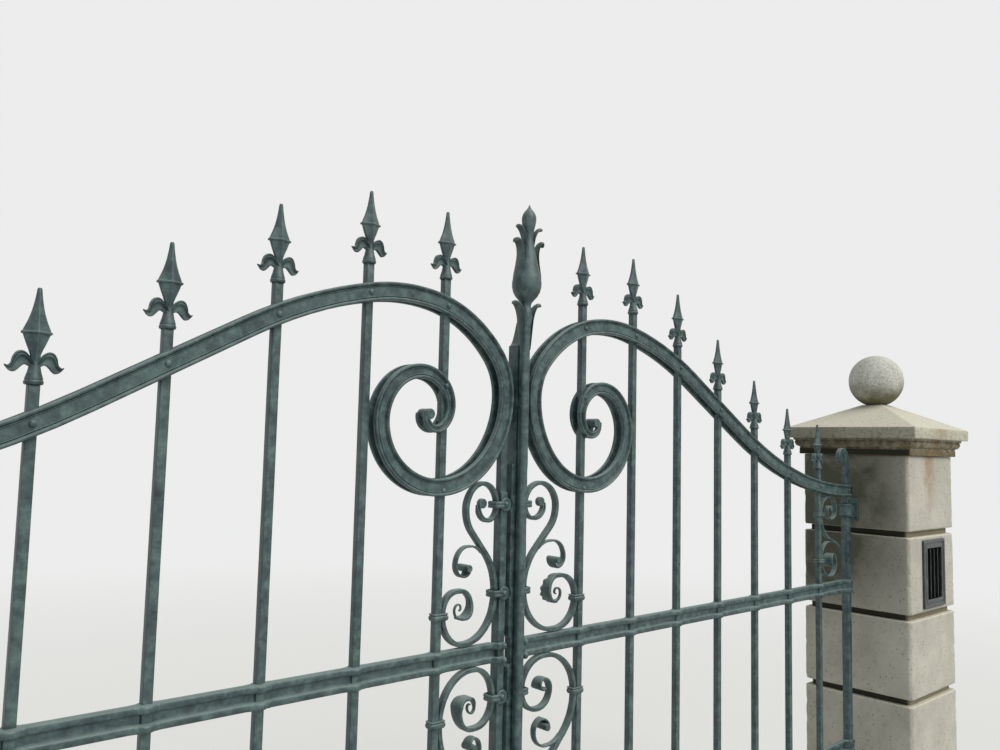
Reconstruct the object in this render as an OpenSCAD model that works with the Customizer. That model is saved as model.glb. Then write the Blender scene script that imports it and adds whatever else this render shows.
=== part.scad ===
// Wrought iron double driveway gate between two cast stone pillars.
// X runs along the gate from the left pillar to the right one, Y from the street
// to the drive, Z up. The origin is the middle of the left pillar's foot.

/* [Opening and pillars] */
// Clear width between the two pillars
opening_w = 3200; // [3160:10:3300]
// Side of the square pillar shaft
pillar_w = 370; // [320:5:440]
// Height of one stone course
course_h = 250; // [240:2:264]
// Height of the recessed joint between courses
joint_h = 20; // [12:1:26]
// Depth of the recessed joint
joint_depth = 16; // [8:1:24]
// Overhang of the cap slab past the shaft
slab_over = 43; // [30:1:50]
// Height of the cap slab's edge
slab_h = 38; // [24:1:60]
// Height of the moulding under the slab
mould_h = 57; // [36:1:70]
// Rise of the low pyramid on the slab
pyramid_h = 85; // [50:1:120]
// Diameter of the stone ball
ball_d = 186; // [160:2:260]

/* [Letter plate] */
// Width of the letter plate on the right pillar
plate_w = 174; // [150:2:230]
// Height of the letter plate
plate_h = 226; // [180:2:236]
// Thickness of the letter plate's frame
plate_t = 8; // [5:1:14]

/* [Leaf] */
// Distance from the middle of the gate to the innermost bar
inner_bar_x = 210; // [200:2:220]
// Side of the square upright bar
bar_t = 16; // [12:1:18]
// Side of the hinge stile
hinge_stile_t = 24; // [20:1:26]
// Width of the meeting stile
meet_stile_w = 18; // [14:1:18]
// Depth of the meeting stile
meet_stile_d = 24; // [20:1:28]
// Free height under the bars and stiles
ground_gap = 60; // [40:5:90]
// Distance from the pillar to the middle of the hinge stile
hinge_reach = 60; // [54:1:70]

/* [Rails] */
// Height of the middle of the upper rail
upper_rail_z = 1160; // [1150:2:1170]
// Distance from one rail to the next below it
rail_step = 520; // [500:5:525]
// Height of one of the two members of a rail
member_h = 15; // [12:1:18]
// Depth of a rail member between bars
member_d = 16; // [12:1:18]
// Distance between the middles of a rail's two members
member_gap = 29; // [26:1:36]
// Thickness of the web between the members
web_t = 6; // [4:1:8]
// Distance that the web stops short of each bar
web_short = 9; // [6:1:14]
// Thickness of the rail's flattened ends
tab_t = 8; // [6:1:10]

/* [Arch and volute] */
// Height of the arch band's middle at the hinge stile
arch_foot_z = 1478; // [1460:2:1500]
// Width of the arch band
band_w = 37; // [32:1:38]
// Depth of each moulded band
band_d = 10; // [8:1:14]
// Width of the bead along each edge of the band
bead_w = 7; // [5:1:9]
// Depth of the recess between the beads
recess_d = 5; // [3:0.5:6]
// Diameter of the roll that ends the volute
roll_d = 22; // [18:1:26]

/* [Finials] */
// Height of a bar's end above the middle of the arch band
bar_above_arch = 57; // [50:1:80]
// Height of the cast spear finial
finial_h = 144; // [120:1:160]
// Reach of a finial's leaf from the bar's middle
leaf_reach = 40; // [34:1:44]
// Width of a finial's leaf
leaf_w = 12; // [10:1:18]

/* [Scrolls] */
// Thickness of a scroll bar at its middle
scroll_t = 10; // [8:0.5:11]
// Depth of a scroll bar at its middle
scroll_d = 16; // [12:1:18]
// Depth of a scroll bar's flared end
flare_d = 36; // [24:1:40]
// Height of a collar
collar_h = 15; // [12:1:18]
// Thickness of a collar's wall
collar_t = 5; // [4:0.5:6]

/* [Hinges] */
// Height of the middle of the upper hinge
top_hinge_z = 1412; // [1400:2:1420]
// Height of the middle of the lower hinge
low_hinge_z = 300; // [240:5:400]
// Height of a hinge ring
ring_h = 40; // [36:1:52]
// Diameter of the stile's round neck in the ring
neck_d = 26; // [24:1:30]
// Running clearance round the neck
neck_gap = 0.1; // [0.05:0.01:0.1]
// Wall of the hinge ring
ring_wall = 6; // [5:0.5:8]

/* [Cover strip] */
// Width of the cover post
post_w = 23; // [20:0.5:23]
// Depth of the cover post
post_d = 21; // [17:1:23]
// Width of the plate behind the post
strip_w = 41; // [38:0.5:41]
// Thickness of the plate
strip_t = 5; // [4:0.5:6]
// How far the plate's edge beside the other leaf is turned back
strip_lip = 8; // [5:0.5:9]
// How far the bud finial's foot stays below the crest of the arch
bud_drop = 34; // [14:2:44]
// Height of the bud finial
bud_h = 258; // [230:2:280]

/* [Hidden] */
$fn = 48;

iron = "#4b5a60";
stone = "#b9b09c";
speckle = "#a8a79b";

// How far one piece sinks into another where they are welded
seat = 0.3;

pillar_x = (opening_w + pillar_w) / 2;
courses = 6;
shaft_h = courses * course_h + (courses - 1) * joint_h;
slab_z = shaft_h + mould_h;
slab_w = pillar_w + 2 * slab_over;
cap_top = slab_z + slab_h + pyramid_h;
ball_foot = 0.47 * ball_d;

bars = 7;
wall_x = opening_w / 2;
hinge_x = wall_x - hinge_reach;
pitch = (hinge_x - inner_bar_x) / bars;
bar_xs = [for (i = [1 : bars]) hinge_x - i * pitch];
rail_zs = [for (i = [0 : 2]) upper_rail_z - i * rail_step];
half_bar = bar_t / 2;
half_meet = meet_stile_d / 2;
half_stile = hinge_stile_t / 2;
neck_z = ring_h / 2 + 1;

// Steps of the arch from the hinge stile to the volute's roll: [radius, turn, width at the end],
// a turn of 0 being a straight run of that length. Every 45 degrees of the volute has
// the same share of the radius before it, and the last turn goes round the roll. The arch was
// drawn for one width of leaf, and grows with the leaf.
drawn_hinge_x = 1540;
arch_k = hinge_x / drawn_hinge_x;
volute_r = 205;
volute_fall = 0.848;
function volute_w(i) = band_w * (1 - 0.045 * max(0, i - 1.5) - 0.07 * max(0, i - 6.5));
arch_steps = concat([
    [1340, 29.3, band_w], [296, 0, band_w], [875, -17.3, band_w],
    [402, -20, band_w], [284, -42, band_w], [136, -40, band_w]],
    [for (i = [0 : 8]) [volute_r * pow(volute_fall, i), -45, volute_w(i + 1)]],
    [[1.2 * roll_d, -145, volute_w(10.5)]]);

// A walk along arcs and straight runs. It gives [x, z, heading, width] at each point,
// the heading counted from straight left, positive upward.
function ahead(p, h, len) = [p[0] - len * cos(h), p[1] + len * sin(h)];
function side_step(p, h, off) = [p[0] + off * sin(h), p[1] + off * cos(h)];
function arc_point(p, h, r, turn) =
    let (s = sign(turn), c = side_step(p, h, s * r))
    side_step(c, h + turn, -s * r);
function walk(steps, p, h, w, fine, i = 0) =
    i >= len(steps) ? [[p[0], p[1], h, w]] :
    let (
        r = steps[i][0],
        turn = steps[i][1],
        w2 = steps[i][2],
        n = turn == 0 ? 1 : max(1, ceil(abs(turn) / fine)),
        here = [for (k = [0 : n - 1])
            let (q = turn == 0 ? p : arc_point(p, h, r, turn * k / n))
            [q[0], q[1], h + turn * k / n, w + (w2 - w) * k / n]],
        last = turn == 0 ? ahead(p, h, r) : arc_point(p, h, r, turn)
    )
    concat(here, walk(steps, last, h + turn, w2, fine, i + 1));

function grown(steps, k) = [for (s = steps) [s[0] * k, s[1], s[2]]];
arch_path = walk(grown(arch_steps, arch_k), [hinge_x + half_stile, arch_foot_z], 0, band_w, 6);

// Outline of a band along a path, its edges at a share of the half width
function edge(path, share) = [for (q = path) side_step(q, q[2], share * q[3] / 2)];
function reversed(list) = [for (i = [len(list) - 1 : -1 : 0]) list[i]];
function band_outline(path, share = 1) = concat(edge(path, share), reversed(edge(path, -share)));

// Height of the arch band's middle above a bar, on the run from the hinge to the volute
outer_arch = [for (q = arch_path) if (q[2] > -60) q];
function between(a, b, x) = a[1] + (b[1] - a[1]) * (x - a[0]) / (b[0] - a[0]);
function arch_z(x) =
    [for (i = [0 : len(outer_arch) - 2])
        if (outer_arch[i][0] >= x && outer_arch[i + 1][0] < x)
            between(outer_arch[i], outer_arch[i + 1], x)][0];

// The volute's edge nearest the gate's middle sets both meeting stiles and the cover strip
volute_x = min([for (q = arch_path) q[0] - q[3] / 2]);
crest_z = max([for (q = arch_path) q[1] + q[3] / 2]);
right_meet_x = volute_x + seat - meet_stile_w / 2;
left_meet_x = volute_x + 8.5 + meet_stile_w / 2;
stile_left_x = right_meet_x - meet_stile_w / 2;
post_x = stile_left_x - post_w / 2;
strip_x = right_meet_x - strip_w / 2;
strip_y = -half_meet - strip_t;
post_y = strip_y - post_d;
strip_foot = ground_gap + 20;
post_back_y = half_meet;
back_top = crest_z - 44;
bud_z = crest_z - bud_drop;

// Heights of the collars that bind the scrolls to the meeting stile and to the end bars
panel_out = bar_xs[bars - 1] - half_bar;
rise_k = (arch_foot_z - upper_rail_z) / 318;
function panel_z(z) = upper_rail_z + rise_k * z;
stile_collar_zs = [panel_z(311), panel_z(123), panel_z(-93)];
bar_collar_zs = [panel_z(90), panel_z(-120)];
end_collar_zs = [panel_z(241), panel_z(92)];
strip_top = stile_collar_zs[0] + 89;
washer_d = 30;
washer_t = 4;

// Stands a drawing made in X and Z upright, its thickness from y0 toward the drive
module upright(y0, t) {
    translate([0, y0 + t, 0]) rotate([90, 0, 0]) linear_extrude(t) children();
}

// The leaf is drawn with its zero in the middle of the gate and the hinge on the right
module right_side() {
    translate([pillar_x, 0, 0]) children();
}
module left_side() {
    right_side() mirror([1, 0, 0]) children();
}

module block(w, d, h, z) {
    translate([-w / 2, -d / 2, z]) cube([w, d, h]);
}

module pillar() {
    color(stone) translate([pillar_x, 0, 0]) {
        for (i = [0 : courses - 1])
            block(pillar_w, pillar_w, course_h, i * (course_h + joint_h));
        core_w = pillar_w - 2 * joint_depth;
        block(core_w, core_w, shaft_h, 0);
    }
}

// Outline of the moulding under the slab: a fillet, a quarter hollow and a lip
module mould_outline() {
    fillet = pillar_w / 2 + 10;
    lip = fillet + 16;
    rise = 0.34 * mould_h;
    hollow = [for (a = [0 : 15 : 90])
        [fillet + (lip - fillet) * (1 - cos(a)), rise + 0.4 * mould_h * sin(a)]];
    half = concat([[fillet, 0]], hollow, [[lip, mould_h]]);
    polygon(concat(half, [for (p = reversed(half)) [-p[0], p[1]]]));
}

module cap() {
    half = pillar_w / 2 + 40;
    color(stone) translate([pillar_x, 0, shaft_h]) {
        intersection() {
            upright(-half, 2 * half) mould_outline();
            rotate([0, 0, 90]) upright(-half, 2 * half) mould_outline();
        }
        block(slab_w, slab_w, slab_h, mould_h);
        intersection() {
            upright(-slab_w / 2, slab_w) slope_outline();
            rotate([0, 0, 90]) upright(-slab_w / 2, slab_w) slope_outline();
        }
    }
}

// The low pyramid on the slab, its top cut flat where the ball stands
module slope_outline() {
    foot = mould_h + slab_h;
    half = slab_w / 2;
    top = 0.2 * ball_d;
    polygon([[-half, foot], [half, foot], [top, foot + pyramid_h], [-top, foot + pyramid_h]]);
}

module ball() {
    color(speckle) translate([pillar_x, 0, cap_top + ball_foot]) intersection() {
        sphere(d = ball_d, $fn = 64);
        block(ball_d + 2, ball_d + 2, ball_d, -ball_foot);
    }
}

module letter_plate() {
    z = 4 * (course_h + joint_h) + (course_h - plate_h) / 2;
    slot_w = plate_w - 56;
    slot_h = plate_h - 64;
    bar_w = 7;
    color("#30363a") translate([pillar_x, -pillar_w / 2 - plate_t, z]) {
        difference() {
            translate([-plate_w / 2, 0, 0]) cube([plate_w, plate_t, plate_h]);
            translate([-slot_w / 2, -1, 34]) cube([slot_w, plate_t - 1, slot_h]);
        }
        for (i = [-1 : 1])
            translate([i * slot_w / 4 - bar_w / 2, 1, 33]) cube([bar_w, plate_t - 1, slot_h + 2]);
    }
}

// A ring with a bead at each end, held off the pillar by an arm and a bolted wall plate
module hinge(z) {
    bore_r = neck_d / 2 + neck_gap;
    ring_r = bore_r + ring_wall;
    wall_plate_w = 36;
    wall_plate_h = 76;
    reach = wall_x - hinge_x;
    color(iron) translate([hinge_x, 0, z]) difference() {
        union() {
            translate([0, 0, -ring_h / 2]) cylinder(r = ring_r, h = ring_h);
            for (s = [-1, 1]) translate([0, 0, s * (ring_h / 2 - 5) - 5]) cylinder(r = ring_r + 3, h = 10);
            translate([ring_r - 6, -8, -12]) cube([reach - ring_r + 2, 16, 24]);
            translate([reach - 8, -wall_plate_w / 2, -wall_plate_h / 2])
                cube([8, wall_plate_w, wall_plate_h]);
        }
        translate([0, 0, -ring_h]) cylinder(r = bore_r, h = 2 * ring_h);
    }
}

module hinge_stile() {
    crook_z = arch_foot_z + 110;
    crook_steps = [[24, -180, 0.6 * hinge_stile_t], [11, -100, 0.5 * hinge_stile_t]];
    crook = walk(crook_steps, [0, crook_z - seat], 90, hinge_stile_t, 20);
    color(iron) translate([hinge_x, 0, 0]) {
        difference() {
            block(hinge_stile_t, hinge_stile_t, crook_z - ground_gap, ground_gap);
            for (z = [top_hinge_z, low_hinge_z])
                block(2 * hinge_stile_t, 2 * hinge_stile_t, 2 * neck_z, z - neck_z);
            // The stile is forged down to the bars' depth where the bands clasp it
            for (s = [-1, 1]) translate([0, s * (half_bar + hinge_stile_t / 2), 0])
                block(2 * hinge_stile_t, hinge_stile_t, 200, arch_foot_z - band_w / 2 - 3);
        }
        for (z = [top_hinge_z, low_hinge_z])
            translate([0, 0, z - neck_z]) cylinder(d = neck_d, h = 2 * neck_z);
        upright(-half_bar, bar_t) polygon(band_outline(crook));
    }
}

// The stile is thinner between the bands, and ends behind the volute
module meeting_stile(x) {
    top = crest_z - 156;
    waist = arch_foot_z + 20;
    color(iron) translate([x, 0, 0]) {
        block(meet_stile_w, meet_stile_d, waist - ground_gap, ground_gap);
        block(meet_stile_w, bar_t, top - waist, waist);
    }
}

module leaf_bars() {
    color(iron) for (x = bar_xs)
        translate([x, 0, 0]) block(bar_t, bar_t, arch_z(x) + bar_above_arch - ground_gap, ground_gap);
}

// The finial's body from its collar up: [height share, half width, half depth]
spear_shape = [
    [0.05, 9.5, 9.5], [0.09, 9.2, 9.2], [0.19, 7.7, 7.5], [0.355, 8.5, 7.5], [0.51, 16.5, 8],
    [0.52, 21, 9], [0.545, 20.5, 9], [0.66, 12.5, 7], [0.8, 7.5, 5], [0.98, 3.7, 3.5], [1, 2.5, 2.5]];
module spear_outline(side) {
    k = bar_t / 16;
    polygon(concat(
        [for (p = spear_shape) [p[side] * k, p[0] * finial_h]],
        [for (p = reversed(spear_shape)) [-p[side] * k, p[0] * finial_h]]));
}

// One leaf of the finial: its rim goes up from the neck, over and down to a tip turned up,
// and its underside comes back to the neck
module finial_leaf() {
    k = leaf_reach / 40;
    rim = [[60 * k, 18, 0], [7.5 * k, 95, 0], [28 * k, 36, 0], [5.5 * k, -100, 0], [1.5 * k, 150, 0]];
    underside = [[12 * k, 95, 0]];
    path = walk(concat(rim, underside), [3.5, 0.243 * finial_h], 117, 0, 20);
    upright(-leaf_w / 2, leaf_w) polygon([for (q = path) [q[0], q[1]]]);
}

module finial() {
    intersection() {
        upright(-20, 40) spear_outline(1);
        rotate([0, 0, 90]) upright(-30, 60) spear_outline(2);
    }
    for (s = [0, 1]) mirror([s, 0, 0]) finial_leaf();
    cylinder(d = 1.5 * bar_t, h = 0.03 * finial_h);
    translate([0, 0, 0.03 * finial_h]) cylinder(d = 1.65 * bar_t, h = 0.04 * finial_h);
}

module leaf_finials() {
    color(iron) for (x = bar_xs)
        translate([x, 0, arch_z(x) + bar_above_arch]) finial();
}

// A flat band with a bead along each edge, rolled up at the end of the volute
module arch_band() {
    end = arch_path[len(arch_path) - 1];
    web = [for (q = arch_path) if (q[3] > 3 * bead_w) q];
    color(iron) difference() {
        upright(-half_bar - band_d, band_d) {
            polygon(band_outline(arch_path));
            translate(side_step(end, end[2], -0.38 * roll_d)) circle(d = roll_d);
        }
        upright(-half_bar - band_d - 1, recess_d + 1)
            polygon(band_outline(web, 1 - 2 * bead_w / band_w));
    }
}

// One member of a rail seen from above: a strip that swells round each bar
module member_plan(meet_x) {
    lap = meet_x + meet_stile_w / 2;
    out = hinge_x - half_stile;
    difference() {
        union() {
            translate([lap + 22, -member_d / 2]) square([out - 22 - lap - 22, member_d]);
            for (x = bar_xs) translate([x, 0]) circle(d = 2.1 * bar_t);
            translate([lap, 0]) lapped_end(half_meet, meet_stile_w / 2, member_d, tab_t);
            translate([out, 0]) mirror([1, 0]) lapped_end(half_stile, hinge_lap, member_d, tab_t);
        }
        for (x = bar_xs) translate([x - half_bar, -half_bar]) square(bar_t);
    }
}

// The end of a member or web of depth d, bent forward to lap on the front of a stile,
// where it is t thick
hinge_lap = 0.8 * hinge_stile_t;
module lapped_end(stile_y, over, d, t) {
    polygon([
        [26, -d / 2], [26, d / 2], [15, d / 2], [4, -stile_y],
        [-over, -stile_y], [-over, -stile_y - t], [7, -stile_y - t]]);
}

rail_ball_d = 0.95 * member_h;
module rail(z, meet_x) {
    lap = meet_x + meet_stile_w / 2;
    out = hinge_x - half_stile;
    stops = concat(reversed(bar_xs), [out - 25]);
    color(iron) {
        for (s = [-1, 1]) translate([0, 0, z + s * member_gap / 2 - member_h / 2]) {
            linear_extrude(member_h) member_plan(meet_x);
            translate([meet_x, -half_meet - rail_ball_d / 2, member_h / 2]) sphere(d = rail_ball_d);
        }
        for (i = [0 : bars]) {
            x0 = i == 0 ? lap + 22 : stops[i - 1] + half_bar + web_short;
            x1 = stops[i] - (i == bars ? 0 : half_bar + web_short);
            translate([x0, -web_t / 2, z - member_gap / 2]) cube([x1 - x0, web_t, member_gap]);
        }
        translate([out, 0, z - member_gap / 2]) linear_extrude(member_gap)
            mirror([1, 0]) lapped_end(half_stile, hinge_lap, web_t, web_t);
    }
}

// A bar bent along a path. Its thickness is the path's width, and its depth follows
// a list of [share of the way, depth].
module ribbon(path, depths) {
    n = len(path);
    rings = [for (i = [0 : n - 1])
        let (
            q = path[i],
            y = lookup(i / (n - 1), depths) / 2,
            a = side_step(q, q[2], q[3] / 2),
            b = side_step(q, q[2], -q[3] / 2)
        )
        each [[a[0], -y, a[1]], [a[0], y, a[1]], [b[0], y, b[1]], [b[0], -y, b[1]]]];
    sides = [for (i = [0 : n - 2], k = [0 : 3])
        let (k2 = (k + 1) % 4, a = 4 * i, b = 4 * i + 4)
        each [[a + k, a + k2, b + k2], [a + k, b + k2, b + k]]];
    last = 4 * n - 4;
    polyhedron(rings, concat([[3, 2, 1], [3, 1, 0]], sides,
        [[last, last + 1, last + 2], [last, last + 2, last + 3]]));
}

function backward(path) = [for (q = reversed(path)) [q[0], q[1], q[2] + 180, q[3]]];
function rest(path) = [for (i = [1 : len(path) - 1]) path[i]];

// Quarter turns of a scroll, each with the same share of the radius before it
function curl(r, fall, turns, way, w0, w1) =
    [for (i = [0 : turns - 1]) [r * pow(fall, i), 90 * way, w0 + (w1 - w0) * (i + 1) / turns]];

// The scrolls were drawn for one width and height of panel, and are fitted to the one at
// hand from its face x0 and the middle of the upper rail
function fitted(path, x0, k) = [for (q = path)
    [x0 + k * q[0], panel_z(q[1]), atan2(rise_k * sin(q[2]), k * cos(q[2])), q[3]]];
drawn_w = 182.5;
scroll_fine = 15;
scroll_gap = 0.15;

// Lays the start of a branch beside a point of the bar that carries it: side is 1 on the
// right of the way that the point looks, and -1 on its left
function beside(path, q, side) =
    let (p = side_step(q, q[2], side * ((q[3] + path[0][3]) / 2 + scroll_gap)))
    [for (s = path) [s[0] + p[0] - path[0][0], s[1] + p[1] - path[0][1], s[2], s[3]]];
function further(q, len) = concat(ahead(q, q[2], len), [q[2], q[3]]);
function turned(q) = [q[0], q[1], q[2] + 180, q[3]];

// The panel scroll above the upper rail, and the same turned half round below it
module panel_scrolls(meet_x) {
    lap = meet_x + meet_stile_w / 2;
    children();
    translate([lap + panel_out, 0, 2 * upper_rail_z]) rotate([0, 180, 0]) children();
}

// The tall bar leaves the stile, swings out, comes back under the volute and ends in a leaf tip
function tall_path(lap, k) =
    let (t = scroll_t)
    fitted(walk([[116, 45, t], [68, 0, t], [66, -45, t], [54, -90, 0.9 * t],
        [48, -90, 0.8 * t], [32, -90, 0.6 * t], [34, -60, 0.3 * t]],
        [(t / 2 + scroll_gap) / k, 126], 90, t, scroll_fine), lap, k);
module tall_bar(meet_x) {
    lap = meet_x + meet_stile_w / 2;
    ribbon(tall_path(lap, (panel_out - lap) / drawn_w),
        [[0, scroll_d], [0.75, scroll_d], [1, 0.8 * flare_d]]);
}

// The small stem inside the leaf tip, the branch of the tall bar, and the coil that lies
// on the rail and is bound to the first bar
function stem_path(tall, k) =
    let (t = scroll_t)
    beside(fitted(walk(concat([[15, -90, 0.5 * t], [10, 0, 0.5 * t]], curl(11, 0.8, 4, -1, 0.5 * t, 0.4 * t)),
        [0, 0], -165, 0.2 * t, scroll_fine), 0, k), tall[24], -1);
function branch_path(tall, k) =
    let (t = scroll_t)
    beside(fitted(walk([[55, 45, 0.5 * t], [10, 0, 0.5 * t], [37, 90, 0.55 * t], [24, 90, 0.45 * t],
        [15, 90, 0.4 * t], [8, 90, 0.4 * t], [6, 90, 0.4 * t]],
        [0, 0], 135, 0.2 * t, scroll_fine), 0, k), further(tall[3], 8), 1);
function coil_path(lap, k) =
    let (
        t = scroll_t,
        face = (t / 2 + scroll_gap) / k,
        floor_z = ((member_gap + member_h) / 2 + 0.5 + t / 2) / rise_k
    )
    fitted(walk([[96, -90, t], [drawn_w - 96 - 66 - 2 * face, 0, t], [66, -90, t], [52, -90, 0.9 * t],
        [13.5, 0, 0.9 * t], [33, -90, 0.8 * t], [24, -90, 0.6 * t], [8, 0, 0.6 * t],
        [17, -90, 0.45 * t], [12, -90, 0.35 * t], [8, -90, 0.3 * t], [5, -90, 0.3 * t]],
        [face, floor_z + 96], -90, t, scroll_fine), lap, k);
module panel_coils(meet_x) {
    lap = meet_x + meet_stile_w / 2;
    k = (panel_out - lap) / drawn_w;
    tall = tall_path(lap, k);
    ribbon(stem_path(tall, k), [[0, scroll_d], [0.4, flare_d], [1, flare_d]]);
    ribbon(branch_path(tall, k),
        [[0, 0.8 * scroll_d], [0.4, scroll_d], [0.8, flare_d], [1, flare_d]]);
    ribbon(coil_path(lap, k), [[0, scroll_d], [0.33, scroll_d], [0.48, flare_d],
        [0.54, 0.8 * flare_d], [0.64, 0.5 * scroll_d], [1, 0.4 * scroll_d]]);
}

// The scroll between the last bar and the hinge stile
end_w = 170;
end_face = bar_xs[0] + half_bar;
end_k = (hinge_x - half_stile - end_face) / end_w;
end_start = [(scroll_t / 2 + scroll_gap) / end_k, 243];
end_sweep = fitted(walk([[86, -70, 0.8 * scroll_t], [40, 0, 0.8 * scroll_t], [104.5, 67, 0.4 * scroll_t]],
    end_start, -90, scroll_t, scroll_fine), end_face, end_k);
module end_bar() {
    t = scroll_t;
    top = fitted(walk(curl(57, 0.75, 5, 1, 0.8 * t, 0.4 * t), end_start, 90, t, scroll_fine),
        end_face, end_k);
    ribbon(concat(backward(top), rest(end_sweep)),
        [[0, 0.8 * scroll_d], [0.5, scroll_d], [1, 0.6 * scroll_d]]);
}
module end_coil() {
    t = scroll_t;
    path = fitted(walk(concat([[57, -110, 0.8 * t]], curl(56, 0.74, 5, -1, 0.7 * t, 0.4 * t)),
        [0, 0], 20, 0.2 * t, scroll_fine), 0, end_k);
    root = turned(further(end_sweep[6], -17));
    ribbon(beside(path, root, -1), [[0, 0.8 * scroll_d], [0.55, scroll_d], [0.8, flare_d], [1, flare_d]]);
}

module scroll_bars(meet_x) {
    color(iron) {
        panel_scrolls(meet_x) tall_bar(meet_x);
        end_bar();
    }
}
module scroll_coils(meet_x) {
    color(iron) {
        panel_scrolls(meet_x) panel_coils(meet_x);
        end_coil();
    }
}

// A band round a bar and the scroll beside it, between x0 and x1
bound_w = scroll_t + 1.8;
module collar(x0, x1, z) {
    inner_y = max(bar_t, scroll_d) / 2;
    y = inner_y + collar_t;
    translate([0, 0, z - collar_h / 2]) linear_extrude(collar_h) difference() {
        translate([x0 - collar_t, -y]) square([x1 - x0 + 2 * collar_t, 2 * y]);
        translate([x0, -inner_y]) square([x1 - x0, 2 * inner_y]);
    }
}

// A strap round the scroll, its two arms riveted to the stile's faces
module stile_strap(meet_x, arm_x, z) {
    lap = meet_x + meet_stile_w / 2;
    y = half_meet + collar_t;
    translate([0, 0, z - collar_h / 2]) linear_extrude(collar_h) difference() {
        translate([arm_x, -y]) square([lap + bound_w + collar_t - arm_x, 2 * y]);
        translate([arm_x - 1, -half_meet]) square([lap + 1 - arm_x, 2 * half_meet]);
        translate([lap - 1, -scroll_d / 2]) square([bound_w + 1, scroll_d]);
    }
}

module collars(meet_x, arm_x) {
    first = bar_xs[bars - 1];
    end = bar_xs[0];
    color(iron) {
        for (z = bar_collar_zs) collar(first - half_bar - bound_w, first + half_bar, z);
        for (z = end_collar_zs) collar(end - half_bar, end + half_bar + bound_w, z);
        for (z = stile_collar_zs) stile_strap(meet_x, arm_x, z);
    }
}

// Washers with their rivet heads on the front of the left meeting stile
module washers() {
    shift = 3;
    color(iron) for (z = stile_collar_zs)
        translate([left_meet_x - shift, -half_meet, z]) rotate([90, 0, 0]) difference() {
            union() {
                cylinder(d = washer_d, h = washer_t);
                cylinder(d = 12, h = collar_t + 4);
            }
            translate([shift - 4, -collar_h / 2, -1]) cube([washer_d, collar_h, collar_t + 1]);
        }
}

// The plate's edge beside the left leaf is turned back, and both give room to that leaf's
// washers and rail ends
module cover_plate() {
    scallop = washer_d + 11;
    left = strip_x - strip_w / 2;
    color(iron) difference() {
        union() {
            upright(strip_y, strip_t)
                translate([left, strip_foot]) square([strip_w, strip_top - strip_foot]);
            upright(strip_y, strip_t + strip_lip)
                translate([left, strip_foot]) square([strip_t, strip_top - strip_foot]);
        }
        upright(strip_y - 1, strip_t + strip_lip + 2) {
            for (z = stile_collar_zs) translate([3 - left_meet_x, z]) circle(d = scallop);
            for (z = rail_zs) {
                translate([-left_meet_x, z]) circle(d = scallop + 6);
                translate([stile_left_x - 4, z - member_gap / 2 - member_h])
                    square([strip_w, member_gap + 2 * member_h]);
            }
        }
    }
}

// The post has eased front corners. Above the plate a bar backs it, its top cut on a slant.
module cover_post() {
    half = post_w / 2;
    ease = 4;
    slant = post_w * tan(64);
    color(iron) translate([post_x, 0, 0]) {
        translate([0, post_y, strip_foot]) linear_extrude(bud_z - strip_foot)
            polygon([[-half, ease], [ease - half, 0], [half - ease, 0], [half, ease],
                [half, post_d], [-half, post_d]]);
        upright(strip_y - seat, post_back_y - strip_y + seat)
            polygon([[-half, strip_top], [half, strip_top], [half, back_top], [-half, back_top - slant]]);
    }
}

// Half outline of the bud: [height share, radius]
bud_shape = [
    [0, 11], [0.08, 13], [0.155, 10.5], [0.17, 12], [0.2, 22], [0.235, 30], [0.27, 33], [0.32, 33],
    [0.37, 30], [0.45, 25], [0.56, 19], [0.66, 14], [0.74, 13], [0.8, 16], [0.86, 17], [0.92, 12],
    [0.97, 4.5], [1, 0]];
// A leaf that leaves the bud's side, swings out to its crest at z and curls over
module bud_leaf(z, reach) {
    swing = 2 * (reach - 22);
    steps = [[12, 0, 6], [swing, 60, 6], [7, 110, 4]];
    path = walk(steps, [9, z - 12 - swing * sin(60)], 90, 5, 20);
    upright(-9, 18) polygon(band_outline(path));
}

module bud_finial() {
    color(iron) translate([post_x, post_y + post_d / 2, bud_z]) {
        rotate_extrude() polygon(concat([[0, 0]], [for (p = bud_shape) [p[1], p[0] * bud_h]]));
        for (s = [0, 1]) mirror([s, 0, 0]) {
            bud_leaf(0.175 * bud_h, 40);
            bud_leaf(0.7 * bud_h, 44);
            bud_leaf(0.82 * bud_h, 38);
        }
    }
}

left_arm_x = left_meet_x - 4;
right_arm_x = strip_x + strip_w / 2 + 0.5;

left_side() pillar();  // left_pillar
right_side() pillar();  // right_pillar
left_side() cap();  // left_cap
right_side() cap();  // right_cap
left_side() ball();  // left_ball
right_side() ball();  // right_ball
right_side() letter_plate();
left_side() hinge(top_hinge_z);  // left_top_hinge
left_side() hinge(low_hinge_z);  // left_low_hinge
right_side() hinge(top_hinge_z);  // right_top_hinge
right_side() hinge(low_hinge_z);  // right_low_hinge

left_side() hinge_stile();  // left_hinge_stile
left_side() meeting_stile(left_meet_x);  // left_meeting_stile
left_side() leaf_bars();  // left_bars
left_side() leaf_finials();  // left_finials
left_side() arch_band();  // left_arch_front
left_side() mirror([0, 1, 0]) arch_band();  // left_arch_back
left_side() rail(rail_zs[0], left_meet_x);  // left_upper_rail
left_side() rail(rail_zs[1], left_meet_x);  // left_middle_rail
left_side() rail(rail_zs[2], left_meet_x);  // left_bottom_rail
left_side() scroll_bars(left_meet_x);  // left_scroll_bars
left_side() scroll_coils(left_meet_x);  // left_scroll_coils
left_side() collars(left_meet_x, left_arm_x);  // left_collars
left_side() washers();  // left_washers

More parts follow.
